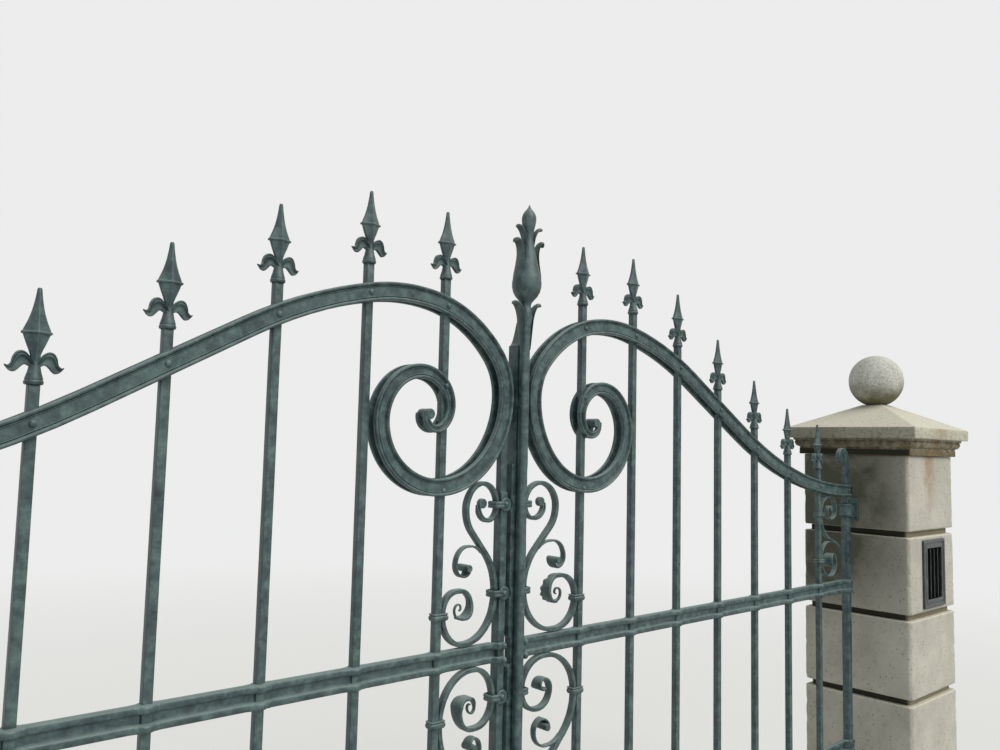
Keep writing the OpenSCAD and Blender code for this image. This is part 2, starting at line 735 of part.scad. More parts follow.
right_side() hinge_stile();  // right_hinge_stile
right_side() meeting_stile(right_meet_x);  // right_meeting_stile
right_side() leaf_bars();  // right_bars
right_side() leaf_finials();  // right_finials
right_side() arch_band();  // right_arch_front
right_side() mirror([0, 1, 0]) arch_band();  // right_arch_back
right_side() rail(rail_zs[0], right_meet_x);  // right_upper_rail
right_side() rail(rail_zs[1], right_meet_x);  // right_middle_rail
right_side() rail(rail_zs[2], right_meet_x);  // right_bottom_rail
right_side() scroll_bars(right_meet_x);  // right_scroll_bars
right_side() scroll_coils(right_meet_x);  // right_scroll_coils
right_side() collars(right_meet_x, right_arm_x);  // right_collars
right_side() cover_plate();
right_side() cover_post();
right_side() bud_finial();
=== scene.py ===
import math

import bmesh
import bpy
import numpy as np
from mathutils import Matrix


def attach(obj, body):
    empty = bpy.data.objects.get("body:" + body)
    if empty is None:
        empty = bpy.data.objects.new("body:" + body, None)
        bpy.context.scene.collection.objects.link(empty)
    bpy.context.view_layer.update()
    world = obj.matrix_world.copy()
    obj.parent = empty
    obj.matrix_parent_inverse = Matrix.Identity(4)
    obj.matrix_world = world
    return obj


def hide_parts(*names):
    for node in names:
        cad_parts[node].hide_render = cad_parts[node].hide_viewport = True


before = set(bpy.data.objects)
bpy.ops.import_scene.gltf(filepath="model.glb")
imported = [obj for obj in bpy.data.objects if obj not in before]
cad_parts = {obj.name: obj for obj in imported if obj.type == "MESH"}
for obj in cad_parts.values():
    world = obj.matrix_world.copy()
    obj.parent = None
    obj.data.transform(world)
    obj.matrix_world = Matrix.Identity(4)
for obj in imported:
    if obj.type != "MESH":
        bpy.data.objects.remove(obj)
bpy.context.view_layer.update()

# Sizes in mm. A leaf is drawn with its zero in the middle of the gate and its hinge on the
# right. The left leaf is the same drawing mirrored.
METRE = 1000.0
MIDDLE_X = 1785.0
PILLAR_W = 370.0
COURSE_H = 250.0
JOINT_H = 20.0
JOINT_DEPTH = 16.0
COURSES = 6
SHAFT_H = COURSES * COURSE_H + (COURSES - 1) * JOINT_H
MOULD_H, SLAB_H, SLAB_OVER, PYRAMID_H = 57.0, 38.0, 43.0, 85.0
BALL_R = 93.0
BALL_FOOT = 0.94 * BALL_R
PLATE_W, PLATE_H = 174.0, 226.0
HINGE_X = 1540.0
WALL_X = 1600.0
HINGE_ZS = (1412.0, 300.0)
RING_H = 40.0
BAR = 16.0
PITCH = 190.0
BAR_XS = [1350.0 - PITCH * i for i in range(7)]
STILE = 24.0
MEET_W, MEET_D = 18.0, 24.0
GROUND_GAP = 60.0
RAIL_ZS = (1160.0, 640.0, 120.0)
UPPER_Z = RAIL_ZS[0]
MEMBER = 15.0
MEMBER_GAP = 29.0
ARCH_FOOT_Z = 1478.0
BAND_W = 37.0
ROLL_D = 22.0
BAR_ABOVE_ARCH = 57.0
CREST_Z = 1914.1
STRAP_ZS = (1471.0, 1283.0, 1067.0)
POST_X, POST_W = -5.27, 23.0
POST_FRONT, POST_BACK = -38.0, -17.0
POST_FOOT, PLATE_TOP = 80.0, 1560.0
BUD_Z = CREST_Z - 34.0
SCROLL_T, SCROLL_D, FLARE_D = 10.0, 16.0, 36.0
SCROLL_GAP = 0.15
PANEL_OUT = BAR_XS[-1] - BAR / 2
SIDES = {"left": -1.0, "right": 1.0}
MEET_XS = {"left": 41.43, "right": 15.23}


# Mesh making
class Shape:
    """The points, in mm, and the faces of one piece, gathered bit by bit."""

    def __init__(self):
        self.points = []
        self.faces = []
        self.total = 0

    def add(self, part, move=(0, 0, 0), turn=None):
        points, faces = part
        points = np.asarray(points, float).reshape(-1, 3)
        if turn is not None:
            points = points @ np.asarray(turn, float).T
        self.points.append(points + np.asarray(move, float))
        self.faces += [np.asarray(block) + self.total for block in faces]
        self.total += len(points)
        return self

    def part(self):
        return np.vstack(self.points), self.faces


def tube(rings):
    """Skin over rings of points, its two ends closed over their middles."""
    rings = np.asarray(rings, float)
    n, m = rings.shape[:2]
    i, j = np.arange(n - 1)[:, None] * m, np.arange(m)[None, :]
    j2 = (j + 1) % m
    quads = np.stack([i + j, i + j2, i + m + j2, i + m + j], -1).reshape(-1, 4)
    points = np.vstack([rings.reshape(-1, 3), rings[0].mean(0), rings[-1].mean(0)])
    k = np.arange(m)
    first = np.stack([k, np.full(m, n * m), (k + 1) % m], -1)
    last = np.stack([(n - 1) * m + k, (n - 1) * m + (k + 1) % m, np.full(m, n * m + 1)], -1)
    return points, [quads, np.vstack([first, last])]


def soft_rectangle(w, d, r, corner=3):
    """Outline of a bar w wide and d deep with its corners rounded to r."""
    r = min(r, 0.499 * w, 0.499 * d)
    quarter = np.linspace(0, math.pi / 2, corner + 1)
    bits = []
    for k, (sx, sy) in enumerate([(1, 1), (-1, 1), (-1, -1), (1, -1)]):
        a = quarter + k * math.pi / 2
        bits.append(np.stack([sx * (w / 2 - r) + r * np.cos(a), sy * (d / 2 - r) + r * np.sin(a)], -1))
    return np.vstack(bits)


def rounded(angles, power):
    """Points of a circle of radius 1, squared off a little by a power below 1."""
    c, s = np.cos(angles), np.sin(angles)
    return np.stack([np.sign(c) * np.abs(c) ** power, np.sign(s) * np.abs(s) ** power], -1)


def crosswise(outline, axis, place):
    """A flat outline stood across the x, y or z axis (0, 1 or 2) at a place along it."""
    return np.insert(np.asarray(outline, float), axis, place, axis=1)


def level_rings(rows, outline):
    """Rings that lie flat, one outline for the size in each row of (size, height)."""
    return np.array([crosswise(outline(size), 2, z) for size, z in rows])


def stepped(w, d, steps, axis, r, corner=3):
    """Solid of rounded rectangles, w by d less an inset all round, one for each step of (inset,
    place along the axis)."""
    return tube([crosswise(soft_rectangle(w - 2 * inset, d - 2 * inset, r, corner), axis, place)
                 for inset, place in steps])


def ahead(p, h, length):
    """A point moved on by a length along a heading."""
    return p[0] - length * math.cos(h), p[1] + length * math.sin(h)


def side_step(p, h, off):
    """A point moved to the right of a heading."""
    return p[0] + off * math.sin(h), p[1] + off * math.cos(h)


def walk(steps, start, heading, width, fine=5.0, run=25.0):
    """Path along arcs [radius, turn, width at the end] and, where turn is 0, straight runs.
    Each point is x, z, heading and width; the heading counts from straight left, in radians."""
    path = []
    p, h, w = tuple(start), math.radians(heading), width
    for length, turn, w_end in steps:
        a = math.radians(turn)
        n = max(1, math.ceil(abs(turn) / fine - 1e-9)) if turn else max(1, math.ceil(length / run))
        off = math.copysign(length, a)
        centre = side_step(p, h, off)
        for k in range(n + 1):
            q = side_step(centre, h + a * k / n, -off) if turn else ahead(p, h, length * k / n)
            if k < n:
                path.append((*q, h + a * k / n, w + (w_end - w) * k / n))
        p, h, w = q, h + a, w_end
    path.append((*p, h, w))
    return np.array(path)


def along(path, outlines):
    """Rings of one outline (across, depth) for each point of a path."""
    x, z, h = path[:, 0, None], path[:, 1, None], path[:, 2, None]
    across, depth = outlines[..., 0], outlines[..., 1]
    return np.stack([x + across * np.sin(h), depth, z + across * np.cos(h)], -1)


# Large odd numbers that mix the three numbers of a cell, and the seed, into one
CELL_MIX = (73856093, 19349663, 83492791)
SEED_MIX = 668265263
LAST_MIX = 1274126177


def lattice(cell, seed):
    """An even spread of values from 0 to 1, one for each whole-numbered cell."""
    n = seed * SEED_MIX
    for axis, mix in enumerate(CELL_MIX):
        n = n ^ (cell[..., axis] * mix)
    n = (n ^ (n >> 13)) * LAST_MIX
    return ((n ^ (n >> 16)) & 0xFFFF) / 65535.0


def noise(points, size, seed=1):
    """Smooth noise from 0 to 1 with lumps of about size mm."""
    q = np.asarray(points, float) / size
    base = np.floor(q).astype(np.int64)
    f = q - base
    f = f * f * (3 - 2 * f)
    total = 0
    for corner in np.ndindex(2, 2, 2):
        share = np.abs(1 - np.array(corner) - f)
        total = total + share.prod(-1) * lattice(base + corner, seed)
    return total


def smooth_line(values, t):
    """Smooth curve through evenly spaced values, read at t."""
    values = np.asarray(values, float)
    v = np.concatenate([[2 * values[0] - values[1]], values, [2 * values[-1] - values[-2]]])
    i = np.clip(np.floor(t).astype(int), 0, len(values) - 2)
    f = t - i
    a, b, c, d = v[i], v[i + 1], v[i + 2], v[i + 3]
    return b + 0.5 * f * (c - a + f * (2 * a - 5 * b + 4 * c - d + f * (3 * (b - c) + d - a)))


def smooth_rows(rows, n):
    """Each column of a table of evenly spaced rows, made into a smooth curve of n points."""
    rows = np.asarray(rows, float)
    t = np.linspace(0, len(rows) - 1, n)
    return [smooth_line(column, t) for column in rows.T]


def ribbon(path, depths, round_to=2.2):
    """A forged bar that follows a path, its thickness from the path and its depth from a list
    of (share of the way, depth)."""
    depth = np.interp(np.linspace(0, 1, len(path)), *zip(*depths))
    rings = along(path, np.array([soft_rectangle(q[3], d, min(round_to, 0.42 * q[3]))
                                  for q, d in zip(path, depth)]))
    out = rings - rings.mean(1, keepdims=True)
    bump = (noise(rings, 11.0, 5) - 0.5)[..., None]
    return tube(rings + 0.5 * bump * out / (np.linalg.norm(out, axis=-1, keepdims=True) + 1e-6))


def lathe(profile, sides=24):
    """Turned shape about Z from (radius, height) points."""
    a = np.linspace(0, 2 * math.pi, sides, endpoint=False)
    profile = np.asarray(profile, float)
    r = profile[:, 0, None]
    return tube(np.stack([r * np.cos(a), r * np.sin(a), np.repeat(profile[:, 1, None], sides, 1)], -1))


def roll(r, half_depth):
    """Round end of a rolled bar, its axis along Z, slightly dished on both faces."""
    rim = [(0.35 * r, -0.8), (0.75 * r, -0.2), (0.9 * r, -0.3), (0.98 * r, -1.2), (r, -2.4)]
    low = [(a, -half_depth - b) for a, b in rim]
    return lathe([(0.05, -half_depth + 0.9)] + low + [(a, -z) for a, z in low[::-1]]
                 + [(0.05, half_depth - 0.9)], 28)


def dome(r, h, sides=18):
    """Rivet head of radius r and height h, its skirt sunk a little."""
    a = np.radians([0, 12, 28, 45, 62, 78])
    return lathe([(0.98 * r, -0.8)] + [(r * math.cos(t), h * math.sin(t)) for t in a] + [(0.02, h)], sides)


# Turns that point a shape's +Z to the street or to the middle of the gate
STREETWARD = np.array([[1, 0, 0], [0, 0, -1], [0, 1, 0]], float)
INWARD = np.array([[0, 0, -1], [0, 1, 0], [1, 0, 0]], float)


def about_z(degrees):
    """Turn about the upright axis."""
    a = math.radians(degrees)
    return np.array([[math.cos(a), -math.sin(a), 0], [math.sin(a), math.cos(a), 0], [0, 0, 1]])


def make(name, shape, body, material, side=None, stands_for=(), sharp=38.0):
    """Turns a shape into a Blender object on its body. A side places a leaf's drawing."""
    points = np.vstack(shape.points)
    if side is not None:
        points = points * [side, 1.0, 1.0] + [MIDDLE_X, 0.0, 0.0]
    faces = [tuple(f) for block in shape.faces for f in block.tolist()]
    mesh = bpy.data.meshes.new(name)
    mesh.from_pydata((points / METRE).tolist(), [], faces)
    work = bmesh.new()
    work.from_mesh(mesh)
    bmesh.ops.recalc_face_normals(work, faces=work.faces)
    work.to_mesh(mesh)
    work.free()
    mesh.polygons.foreach_set("use_smooth", np.ones(len(mesh.polygons), bool))
    mesh.set_sharp_from_angle(angle=math.radians(sharp))
    mesh.materials.append(material)
    made = bpy.data.objects.new(name, mesh)
    bpy.context.scene.collection.objects.link(made)
    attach(made, body)
    if stands_for:
        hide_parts(*stands_for)
    return made


def make_dressed(node, shape, body, material, side=None, sharp=38.0):
    """Makes the dressed form of one CAD node, which takes the node's place."""
    return make(node + "_dressed", shape, body, material, side, [node], sharp)


def make_leaf_part(node, shape, sharp=38.0):
    """Makes the dressed form of one node of a leaf, on the side that its name starts with."""
    side = node.split("_")[0]
    return make_dressed(node, shape, side + "_leaf", IRON, side=SIDES[side], sharp=sharp)


# Materials
def srgb(code):
    """Linear colour from an sRGB hex code."""
    parts = [int(code[i:i + 2], 16) / 255.0 for i in (1, 3, 5)]
    return tuple(c / 12.92 if c <= 0.04045 else ((c + 0.055) / 1.055) ** 2.4 for c in parts) + (1.0,)


def put(tree, kind, values=(), links=(), **settings):
    """Adds a node with its settings, its socket values and its links."""
    made = tree.nodes.new(kind)
    for key, value in settings.items():
        setattr(made, key, value)
    for key, value in dict(values).items():
        made.inputs[key].default_value = value
    for key, output in dict(links).items():
        tree.links.new(output, made.inputs[key])
    return made


def start_material(name, colour):
    """A material with its shader, its node tree and the place of each point on the piece."""
    made = bpy.data.materials.new(name)
    made.use_nodes = True
    made.diffuse_color = srgb(colour)
    tree = made.node_tree
    tree.nodes.clear()
    shader = put(tree, "ShaderNodeBsdfPrincipled", {"Base Color": srgb(colour)})
    put(tree, "ShaderNodeOutputMaterial", links={"Surface": shader.outputs["BSDF"]})
    place = put(tree, "ShaderNodeTexCoord")
    return made, tree, shader, place


def skinned(material, colour, height, strength, relief):
    """Gives a material its colour, and a bump of a relief in mm."""
    tree = material.node_tree
    shader = tree.nodes["Principled BSDF"]
    tree.links.new(colour, shader.inputs["Base Color"])
    bump = put(tree, "ShaderNodeBump", {"Strength": strength, "Distance": relief / METRE},
               {"Height": height})
    tree.links.new(bump.outputs["Normal"], shader.inputs["Normal"])
    return material


def layered(tree, base, layers):
    """Lays colours over a base, one after the other. Each layer has a pattern, the values at which
    it starts and is full, how strong it gets, and its colour."""
    colour = None
    for pattern, start, full, most, code in layers:
        amount = put(tree, "ShaderNodeMapRange",
                     {"From Min": start, "From Max": full, "To Max": most}, {"Value": pattern})
        links = {0: amount.outputs["Result"]}
        if colour is not None:
            links[6] = colour
        mix = put(tree, "ShaderNodeMix", {}, links, data_type="RGBA")
        if colour is None:
            mix.inputs[6].default_value = srgb(base)
        mix.inputs[7].default_value = srgb(code)
        colour = mix.outputs[2]
    return colour


def painted_iron():
    """Forged iron under a satin blue-grey gate paint: soft highlights, an uneven hammered skin,
    darker in random patches, greener and paler where rain has worn it."""
    made, tree, shader, place = start_material("satin_paint_on_forged_iron", "#3d4b4c")
    at = {"Vector": place.outputs["Object"]}
    patterns = []
    for size, detail, rough in ((150, 4.0, 0.6), (20, 5.0, 0.65), (2.4, 3.0, 0.7)):
        values = {"Scale": METRE / size, "Detail": detail, "Roughness": rough}
        patterns.append(put(tree, "ShaderNodeTexNoise", values, at).outputs["Fac"])
    broad, patches, grit = patterns
    hammer = put(tree, "ShaderNodeTexVoronoi", {"Scale": METRE / 12, "Smoothness": 0.8}, at,
                 feature="SMOOTH_F1").outputs["Distance"]
    normal = put(tree, "ShaderNodeNewGeometry").outputs["Normal"]
    upward = put(tree, "ShaderNodeSeparateXYZ", links={0: normal}).outputs["Z"]
    colour = layered(tree, "#2b3d40", [
        (broad, 0.38, 0.62, 1.0, "#394c4c"),
        (patches, 0.46, 0.68, 0.8, "#546b66"),
        (patches, 0.44, 0.26, 0.85, "#18221f"),
        (upward, 0.3, 0.9, 0.45, "#83938e")])
    gloss = put(tree, "ShaderNodeMapRange",
                {"From Min": 0.3, "From Max": 0.7, "To Min": 0.4, "To Max": 0.58}, {"Value": patches})
    tree.links.new(gloss.outputs["Result"], shader.inputs["Roughness"])
    height = put(tree, "ShaderNodeMath", {1: 0.25}, {0: grit, 2: hammer}, operation="MULTIPLY_ADD")
    return skinned(made, colour, height.outputs[0], 0.5, 0.9)


# Where the weathering of the pillars lies, and the painted shadow that deepens it toward the drive:
# heights, and depths from the street to the drive
GROWTH_FOOT, GROWTH_FULL = SHAFT_H - 650.0, SHAFT_H - 300.0
GROWTH_SHADOW_STREET, GROWTH_SHADOW_DRIVE = -170.0, 80.0
RUN_FOOT, RUN_HALF = SHAFT_H - 240.0, 75.0
RUN_X = MIDDLE_X - 13.0   # counted from the gate's middle
SLAB_Z = SHAFT_H + MOULD_H


def cast_stone(name="cast_stone", base="#9f9c90", pale="#b3b0a4", most_growth_and_shadow=0.9, lichen=0.15,
               most_run=0.7, under_slab_darkening=0.0):
    """Reconstituted stone cast in moulds: a matt sandy skin with small blow holes, cloudy
    weathering, a brown run below the moulding, green-black growth on the shaded faces that painted
    shadow deepens toward the drive, painted shade in their joints, and a darker moulding under the slab."""
    made, tree, shader, place = start_material(name, pale)
    at = {"Vector": place.outputs["Object"]}
    patterns = []
    for size, detail, rough in ((170, 6.0, 0.62), (28, 6.0, 0.7), (9, 4.0, 0.75), (2.6, 3.0, 0.8)):
        values = {"Scale": METRE / size, "Detail": detail, "Roughness": rough}
        patterns.append(put(tree, "ShaderNodeTexNoise", values, at).outputs["Fac"])
    clouds, mottle, specks, sand = patterns
    holes = put(tree, "ShaderNodeTexVoronoi", {"Scale": METRE / 17}, at).outputs["Distance"]
    spot = put(tree, "ShaderNodeSeparateXYZ", links={0: place.outputs["Object"]}).outputs
    facing = put(tree, "ShaderNodeSeparateXYZ", links={0: place.outputs["Normal"]}).outputs
    sideways = put(tree, "ShaderNodeMath", links={0: facing["X"]}, operation="ABSOLUTE").outputs[0]
    course = put(tree, "ShaderNodeMath", {1: (COURSE_H + JOINT_H) / METRE}, {0: spot["Z"]},
                 operation="MODULO").outputs[0]
    joint = put(tree, "ShaderNodeMath", {1: (COURSE_H - 1.0) / METRE}, {0: course},
                operation="GREATER_THAN").outputs[0]
    off_line = spot["X"]   # becomes the distance from the brown run's line on either pillar
    for middle in (MIDDLE_X, RUN_X):
        off_line = put(tree, "ShaderNodeMath", {1: middle / METRE}, {0: off_line},
                       operation="SUBTRACT").outputs[0]
        off_line = put(tree, "ShaderNodeMath", links={0: off_line}, operation="ABSOLUTE").outputs[0]

    # Masks: what each one reads, where it starts and is full, how strong it is there, its slope
    masks = []
    for value, start, full, low, most, slope in (
            (sideways, 0.55, 0.9, 0.0, 1.0, "LINEAR"),
            (spot["Z"], GROWTH_FOOT / METRE, GROWTH_FULL / METRE, 0.0, 1.0, "SMOOTHSTEP"),
            # painted shadow: the growth gets stronger toward the drive
            (spot["Y"], GROWTH_SHADOW_STREET / METRE, GROWTH_SHADOW_DRIVE / METRE, 0.45, 1.3, "LINEAR"),
            (clouds, 0.33, 0.67, 0.3, 0.8, "LINEAR"),
            (spot["Z"], RUN_FOOT / METRE, SHAFT_H / METRE, 0.0, 1.0, "LINEAR"),
            (facing["Y"], -0.6, -0.9, 0.0, 1.0, "LINEAR"),
            (off_line, RUN_HALF / METRE, 0.0, 0.0, 1.0, "SMOOTHSTEP"),
            (spot["Z"], (SLAB_Z + 8.0) / METRE, (SLAB_Z - 7.0) / METRE, 0.0, 1.0, "LINEAR"),
            (holes, 0.13, 0.09, 0.0, 1.0, "LINEAR")):
        values = {"From Min": start, "From Max": full, "To Min": low, "To Max": most}
        masks.append(put(tree, "ShaderNodeMapRange", values, {"Value": value},
                         interpolation_type=slope).outputs[0])
    reveal, high, growth_and_shadow_toward_drive, cloudy, below, street, wet, under_slab, pits = masks

    # Growth sits on the faces that look along the gate, more of it up high; toward the drive it is
    # deepened by painted shadow. The brown run starts under the moulding of the street face. The
    # moulding is darker under the slab, and the joints of the faces along the gate get painted shade.
    layer_masks = []
    for layer_mask, *others in ((reveal, high, growth_and_shadow_toward_drive, cloudy), (below, street, wet, mottle),
                           (under_slab, mottle), (joint, reveal)):
        for other in others:
            layer_mask = put(tree, "ShaderNodeMath", links={0: layer_mask, 1: other}, operation="MULTIPLY").outputs[0]
        layer_masks.append(layer_mask)
    growth_and_shadow, run, darker_under_slab, joint_shade = layer_masks
    colour = layered(tree, base, [
        (clouds, 0.36, 0.62, 1.0, pale),
        (mottle, 0.52, 0.76, 0.6, "#87826f"),
        (sand, 0.38, 0.7, 0.4, "#c6c4ba"),
        (specks, 0.52, 0.64, lichen, "#4d4a36"),
        (joint, 0.0, 1.0, 0.75, "#6e6649"),
        (facing["Z"], 0.1, 0.5, 0.7, "#cbc7b7"),   # faces that rain has washed pale
        # darker under the slab
        (darker_under_slab, 0.2, 0.6, under_slab_darkening, "#5a4f33"),
        # green-black growth, with painted shadow deepening it toward the drive
        (growth_and_shadow, 0.02, 0.62, most_growth_and_shadow, "#3b3d2e"),
        # painted shade in the joints of the faces along the gate
        (joint_shade, 0.0, 1.0, 0.9, "#1d1d16"),
        (run, 0.04, 0.45, most_run, "#86693f"),
        (holes, 0.13, 0.09, 0.85, "#3f3d33")])
    shader.inputs["Roughness"].default_value = 0.88
    shader.inputs["Specular IOR Level"].default_value = 0.3
    skin = put(tree, "ShaderNodeMath", {1: 0.35}, {0: sand, 2: mottle}, operation="MULTIPLY_ADD")
    height = put(tree, "ShaderNodeMath", {1: -2.0}, {0: pits, 2: skin.outputs[0]},
                 operation="MULTIPLY_ADD")
    return skinned(made, colour, height.outputs[0], 0.55, 1.6)


def speckled_stone():
    """Cast ball of grey aggregate: small dark and pale grains in a warm grey matrix, a few deep
    pits, and a darker brown-green tone towards the underside, in cloudy patches."""
    made, tree, shader, place = start_material("speckled_aggregate", "#b0b0a6")
    at = {"Vector": place.outputs["Object"]}
    cells = put(tree, "ShaderNodeTexVoronoi", {"Scale": METRE / 3.4}, at)
    grain = put(tree, "ShaderNodeSeparateXYZ", links={0: cells.outputs["Color"]}).outputs["X"]
    specks = put(tree, "ShaderNodeTexNoise", {"Scale": METRE / 3.0, "Detail": 3.0}, at).outputs["Fac"]
    clouds = put(tree, "ShaderNodeTexNoise", {"Scale": METRE / 60, "Detail": 4.0}, at).outputs["Fac"]
    holes = put(tree, "ShaderNodeTexVoronoi", {"Scale": METRE / 17}, at).outputs["Distance"]
    upward = put(tree, "ShaderNodeSeparateXYZ", links={0: place.outputs["Normal"]}).outputs["Z"]
    clouded_upward = put(tree, "ShaderNodeMath", {1: 0.9}, {0: clouds, 2: upward},
               operation="MULTIPLY_ADD").outputs[0]
    colour = layered(tree, "#adada4", [
        (clouds, 0.35, 0.65, 1.0, "#bcbcb3"),
        (grain, 0.7, 0.8, 0.45, "#7f7e74"),
        (grain, 0.2, 0.12, 0.6, "#d4d3ca"),
        (specks, 0.6, 0.68, 0.45, "#6f6e64"),
        # darker brown-green towards the underside
        (clouded_upward, 0.42, -0.3, 0.9, "#54502f"),
        (holes, 0.13, 0.08, 0.9, "#3c3b33")])
    shader.inputs["Roughness"].default_value = 0.84
    return skinned(made, colour, specks, 0.5, 1.0)


def dark_iron():
    """Cast iron under dark grey enamel: smooth, fairly even, a little glossier than the gate."""
    made, tree, shader, place = start_material("dark_enamel_on_cast_iron", "#33383a")
    at = {"Vector": place.outputs["Object"]}
    cloud = put(tree, "ShaderNodeTexNoise", {"Scale": METRE / 30, "Detail": 5.0, "Roughness": 0.6},
                at).outputs["Fac"]
    grain = put(tree, "ShaderNodeTexNoise", {"Scale": METRE / 1.8, "Detail": 2.0}, at).outputs["Fac"]
    colour = layered(tree, "#2b3031", [
        (cloud, 0.4, 0.68, 1.0, "#464c49"),
        (cloud, 0.62, 0.75, 0.5, "#6b6a5e")])
    gloss = put(tree, "ShaderNodeMapRange",
                {"From Min": 0.3, "From Max": 0.7, "To Min": 0.36, "To Max": 0.52}, {"Value": cloud})
    tree.links.new(gloss.outputs["Result"], shader.inputs["Roughness"])
    return skinned(made, colour, grain, 0.25, 0.5)


def slot_shade_black():
    """Painted shade: a flat black sheet at the back of the letter slot, a little dusty, that stands in
    for the dark of the deep slot where hardly any light reaches.
    """
    made, tree, shader, place = start_material("painted_shade_in_letter_slot", "#0b0c0c")
    at = {"Vector": place.outputs["Object"]}
    dust = put(tree, "ShaderNodeTexNoise", {"Scale": METRE / 12, "Detail": 4.0}, at).outputs["Fac"]
    colour = layered(tree, "#0a0b0b", [(dust, 0.45, 0.75, 0.5, "#24241f")])
    tree.links.new(colour, shader.inputs["Base Color"])
    shader.inputs["Roughness"].default_value = 1.0
    shader.inputs["Specular IOR Level"].default_value = 0.0
    return made


IRON = painted_iron()
STONE = cast_stone()
CAP_STONE = cast_stone("weathered_cast_stone", "#9c9784", "#b3af9e", 0.5, 0.6, 0.3, 1.0)
BALL_STONE = speckled_stone()
PLATE_IRON = dark_iron()
SLOT_SHADE = slot_shade_black()


def dress(node, material, soften):
    """Gives a carried-over CAD node its material and softens its edges."""
    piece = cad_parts[node]
    piece.data.materials.clear()
    piece.data.materials.append(material)
    weld = piece.modifiers.new("weld", "WELD")
    weld.merge_threshold = 0.00002
    bevel = piece.modifiers.new("soften", "BEVEL")
    bevel.width = soften / METRE
    bevel.segments = 3
    bevel.limit_method = "ANGLE"
    bevel.angle_limit = math.radians(30)
    bevel.harden_normals = True


# Pillars
def chamfered_square(half, chamfer, per_side=42):
    """Outline of a square with its corners cut, points spread evenly along each side."""
    side = np.linspace(chamfer - half, half - chamfer, per_side)
    cut = np.array([0.12, 0.5, 0.88])
    bulge = 0.08 * chamfer * np.sin(cut * math.pi)
    face = np.column_stack([np.full(per_side, half), side])
    corner = np.column_stack([half - chamfer * cut + bulge, half - chamfer + chamfer * cut + bulge])
    quarter = np.vstack([face, corner])
    return np.vstack([quarter @ about_z(90 * k)[:2, :2].T for k in range(4)])


def worn(rings, depth):
    """Moves the points of a square shape in toward its middle by a depth at each point."""
    reach = np.maximum(np.abs(rings[..., :2]).max(-1), 1)
    rings[..., :2] *= (1 - depth / reach)[..., None]
    return tube(rings)


ARRIS = 9.0
BED_EASE = [(3.0, 0.4), (0.9, 1.4), (0.0, 3.6)]   # how far in, and how far from the bed


def pillar(side, x, seed):
    """Shaft of stone courses with sunk joints, its arrises chamfered and chipped."""
    half = PILLAR_W / 2
    rows = []
    for i in range(COURSES):
        foot = i * (COURSE_H + JOINT_H)
        top = foot + COURSE_H
        if i:
            rows.append((half - JOINT_DEPTH, foot))
        rows += [(half - growth_and_shadow_toward_drive, foot + up) for growth_and_shadow_toward_drive, up in BED_EASE]
        rows += [(half, z) for z in np.linspace(foot + 9, top - 9, 30)]
        rows += [(half - growth_and_shadow_toward_drive, top - up) for growth_and_shadow_toward_drive, up in BED_EASE[::-1]]
        if i < COURSES - 1:
            rows += [(half - JOINT_DEPTH, top), (half - JOINT_DEPTH, top + JOINT_H / 2)]
    rings = level_rings(rows, lambda size: chamfered_square(size, ARRIS))
    from_arris = 2 * half - ARRIS - np.abs(rings[..., 0]) - np.abs(rings[..., 1])
    up = np.mod(rings[..., 2], COURSE_H + JOINT_H)
    from_bed = np.minimum(up, np.abs(COURSE_H - up))
    near_arris = np.clip(1 - from_arris / 16.0, 0, 1)
    near_edge = np.maximum(near_arris, np.clip(1 - from_bed / 9.0, 0, 1))
    chips = 6 * np.clip(noise(rings, 17.0, seed) - 0.62, 0, 1)
    chips += 4 * np.clip(noise(rings, 7.0, seed + 3) - 0.6, 0, 1)
    scars = 26 * np.clip(noise(rings * [1, 1, 0.2], 12.0, seed + 5) - 0.72, 0, 1)
    wave = 0.7 * np.abs(noise(rings, 70.0, seed + 7) - 0.5)
    skin = worn(rings, chips * near_edge + scars * near_arris + wave)
    make_dressed(side + "_pillar", Shape().add(skin, (x, 0, 0)), "pillars", STONE, sharp=45)


# The cap's moulding: how far out from the shaft's face, and the height above the shaft
MOULDING = [(-30, 0), (9, 0), (10.5, 1.5), (10.5, 22), (9.5, 23.5), (9.5, 25.5), (12, 26), (16, 28),
            (20, 32), (22.5, 37), (23.5, 42), (23, 45), (21.5, 47), (21.5, 49), (25.5, 49.6), (26, 51),
            (26, 55), (25.5, MOULD_H)]
# The slab's edge: how far in from its rim, and the height above the slab's foot
SLAB_EDGE = [(2, 0), (0.4, 1.4), (0, 4), (0, SLAB_H - 13), (0, SLAB_H - 3), (0.8, SLAB_H - 0.8),
             (3, SLAB_H)]


def cap(side, x, seed):
    """Moulding, thin slab and low pyramid in one casting."""
    half = PILLAR_W / 2
    eaves = MOULD_H + SLAB_H
    rim = half + SLAB_OVER
    top = 0.4 * BALL_R
    rows = [(half + out, z) for out, z in MOULDING]
    rows += [(rim - inset, MOULD_H + up) for inset, up in SLAB_EDGE]
    rows += [(rim - 3 + (top - rim + 3) * t, eaves + PYRAMID_H * t) for t in np.linspace(0.03, 1, 24)]
    rows.append((top - 3, eaves + PYRAMID_H))
    rings = level_rings(rows, lambda size: chamfered_square(size, 3.0, 46))
    chips = 3.5 * np.clip(noise(rings, 14.0, seed) - 0.62, 0, 1)
    wave = np.abs(noise(rings, 60.0, seed + 2) - 0.5)
    shape = Shape().add(worn(rings, chips + wave), (x, 0, SHAFT_H))
    make_dressed(side + "_cap", shape, "pillars", CAP_STONE, sharp=40)


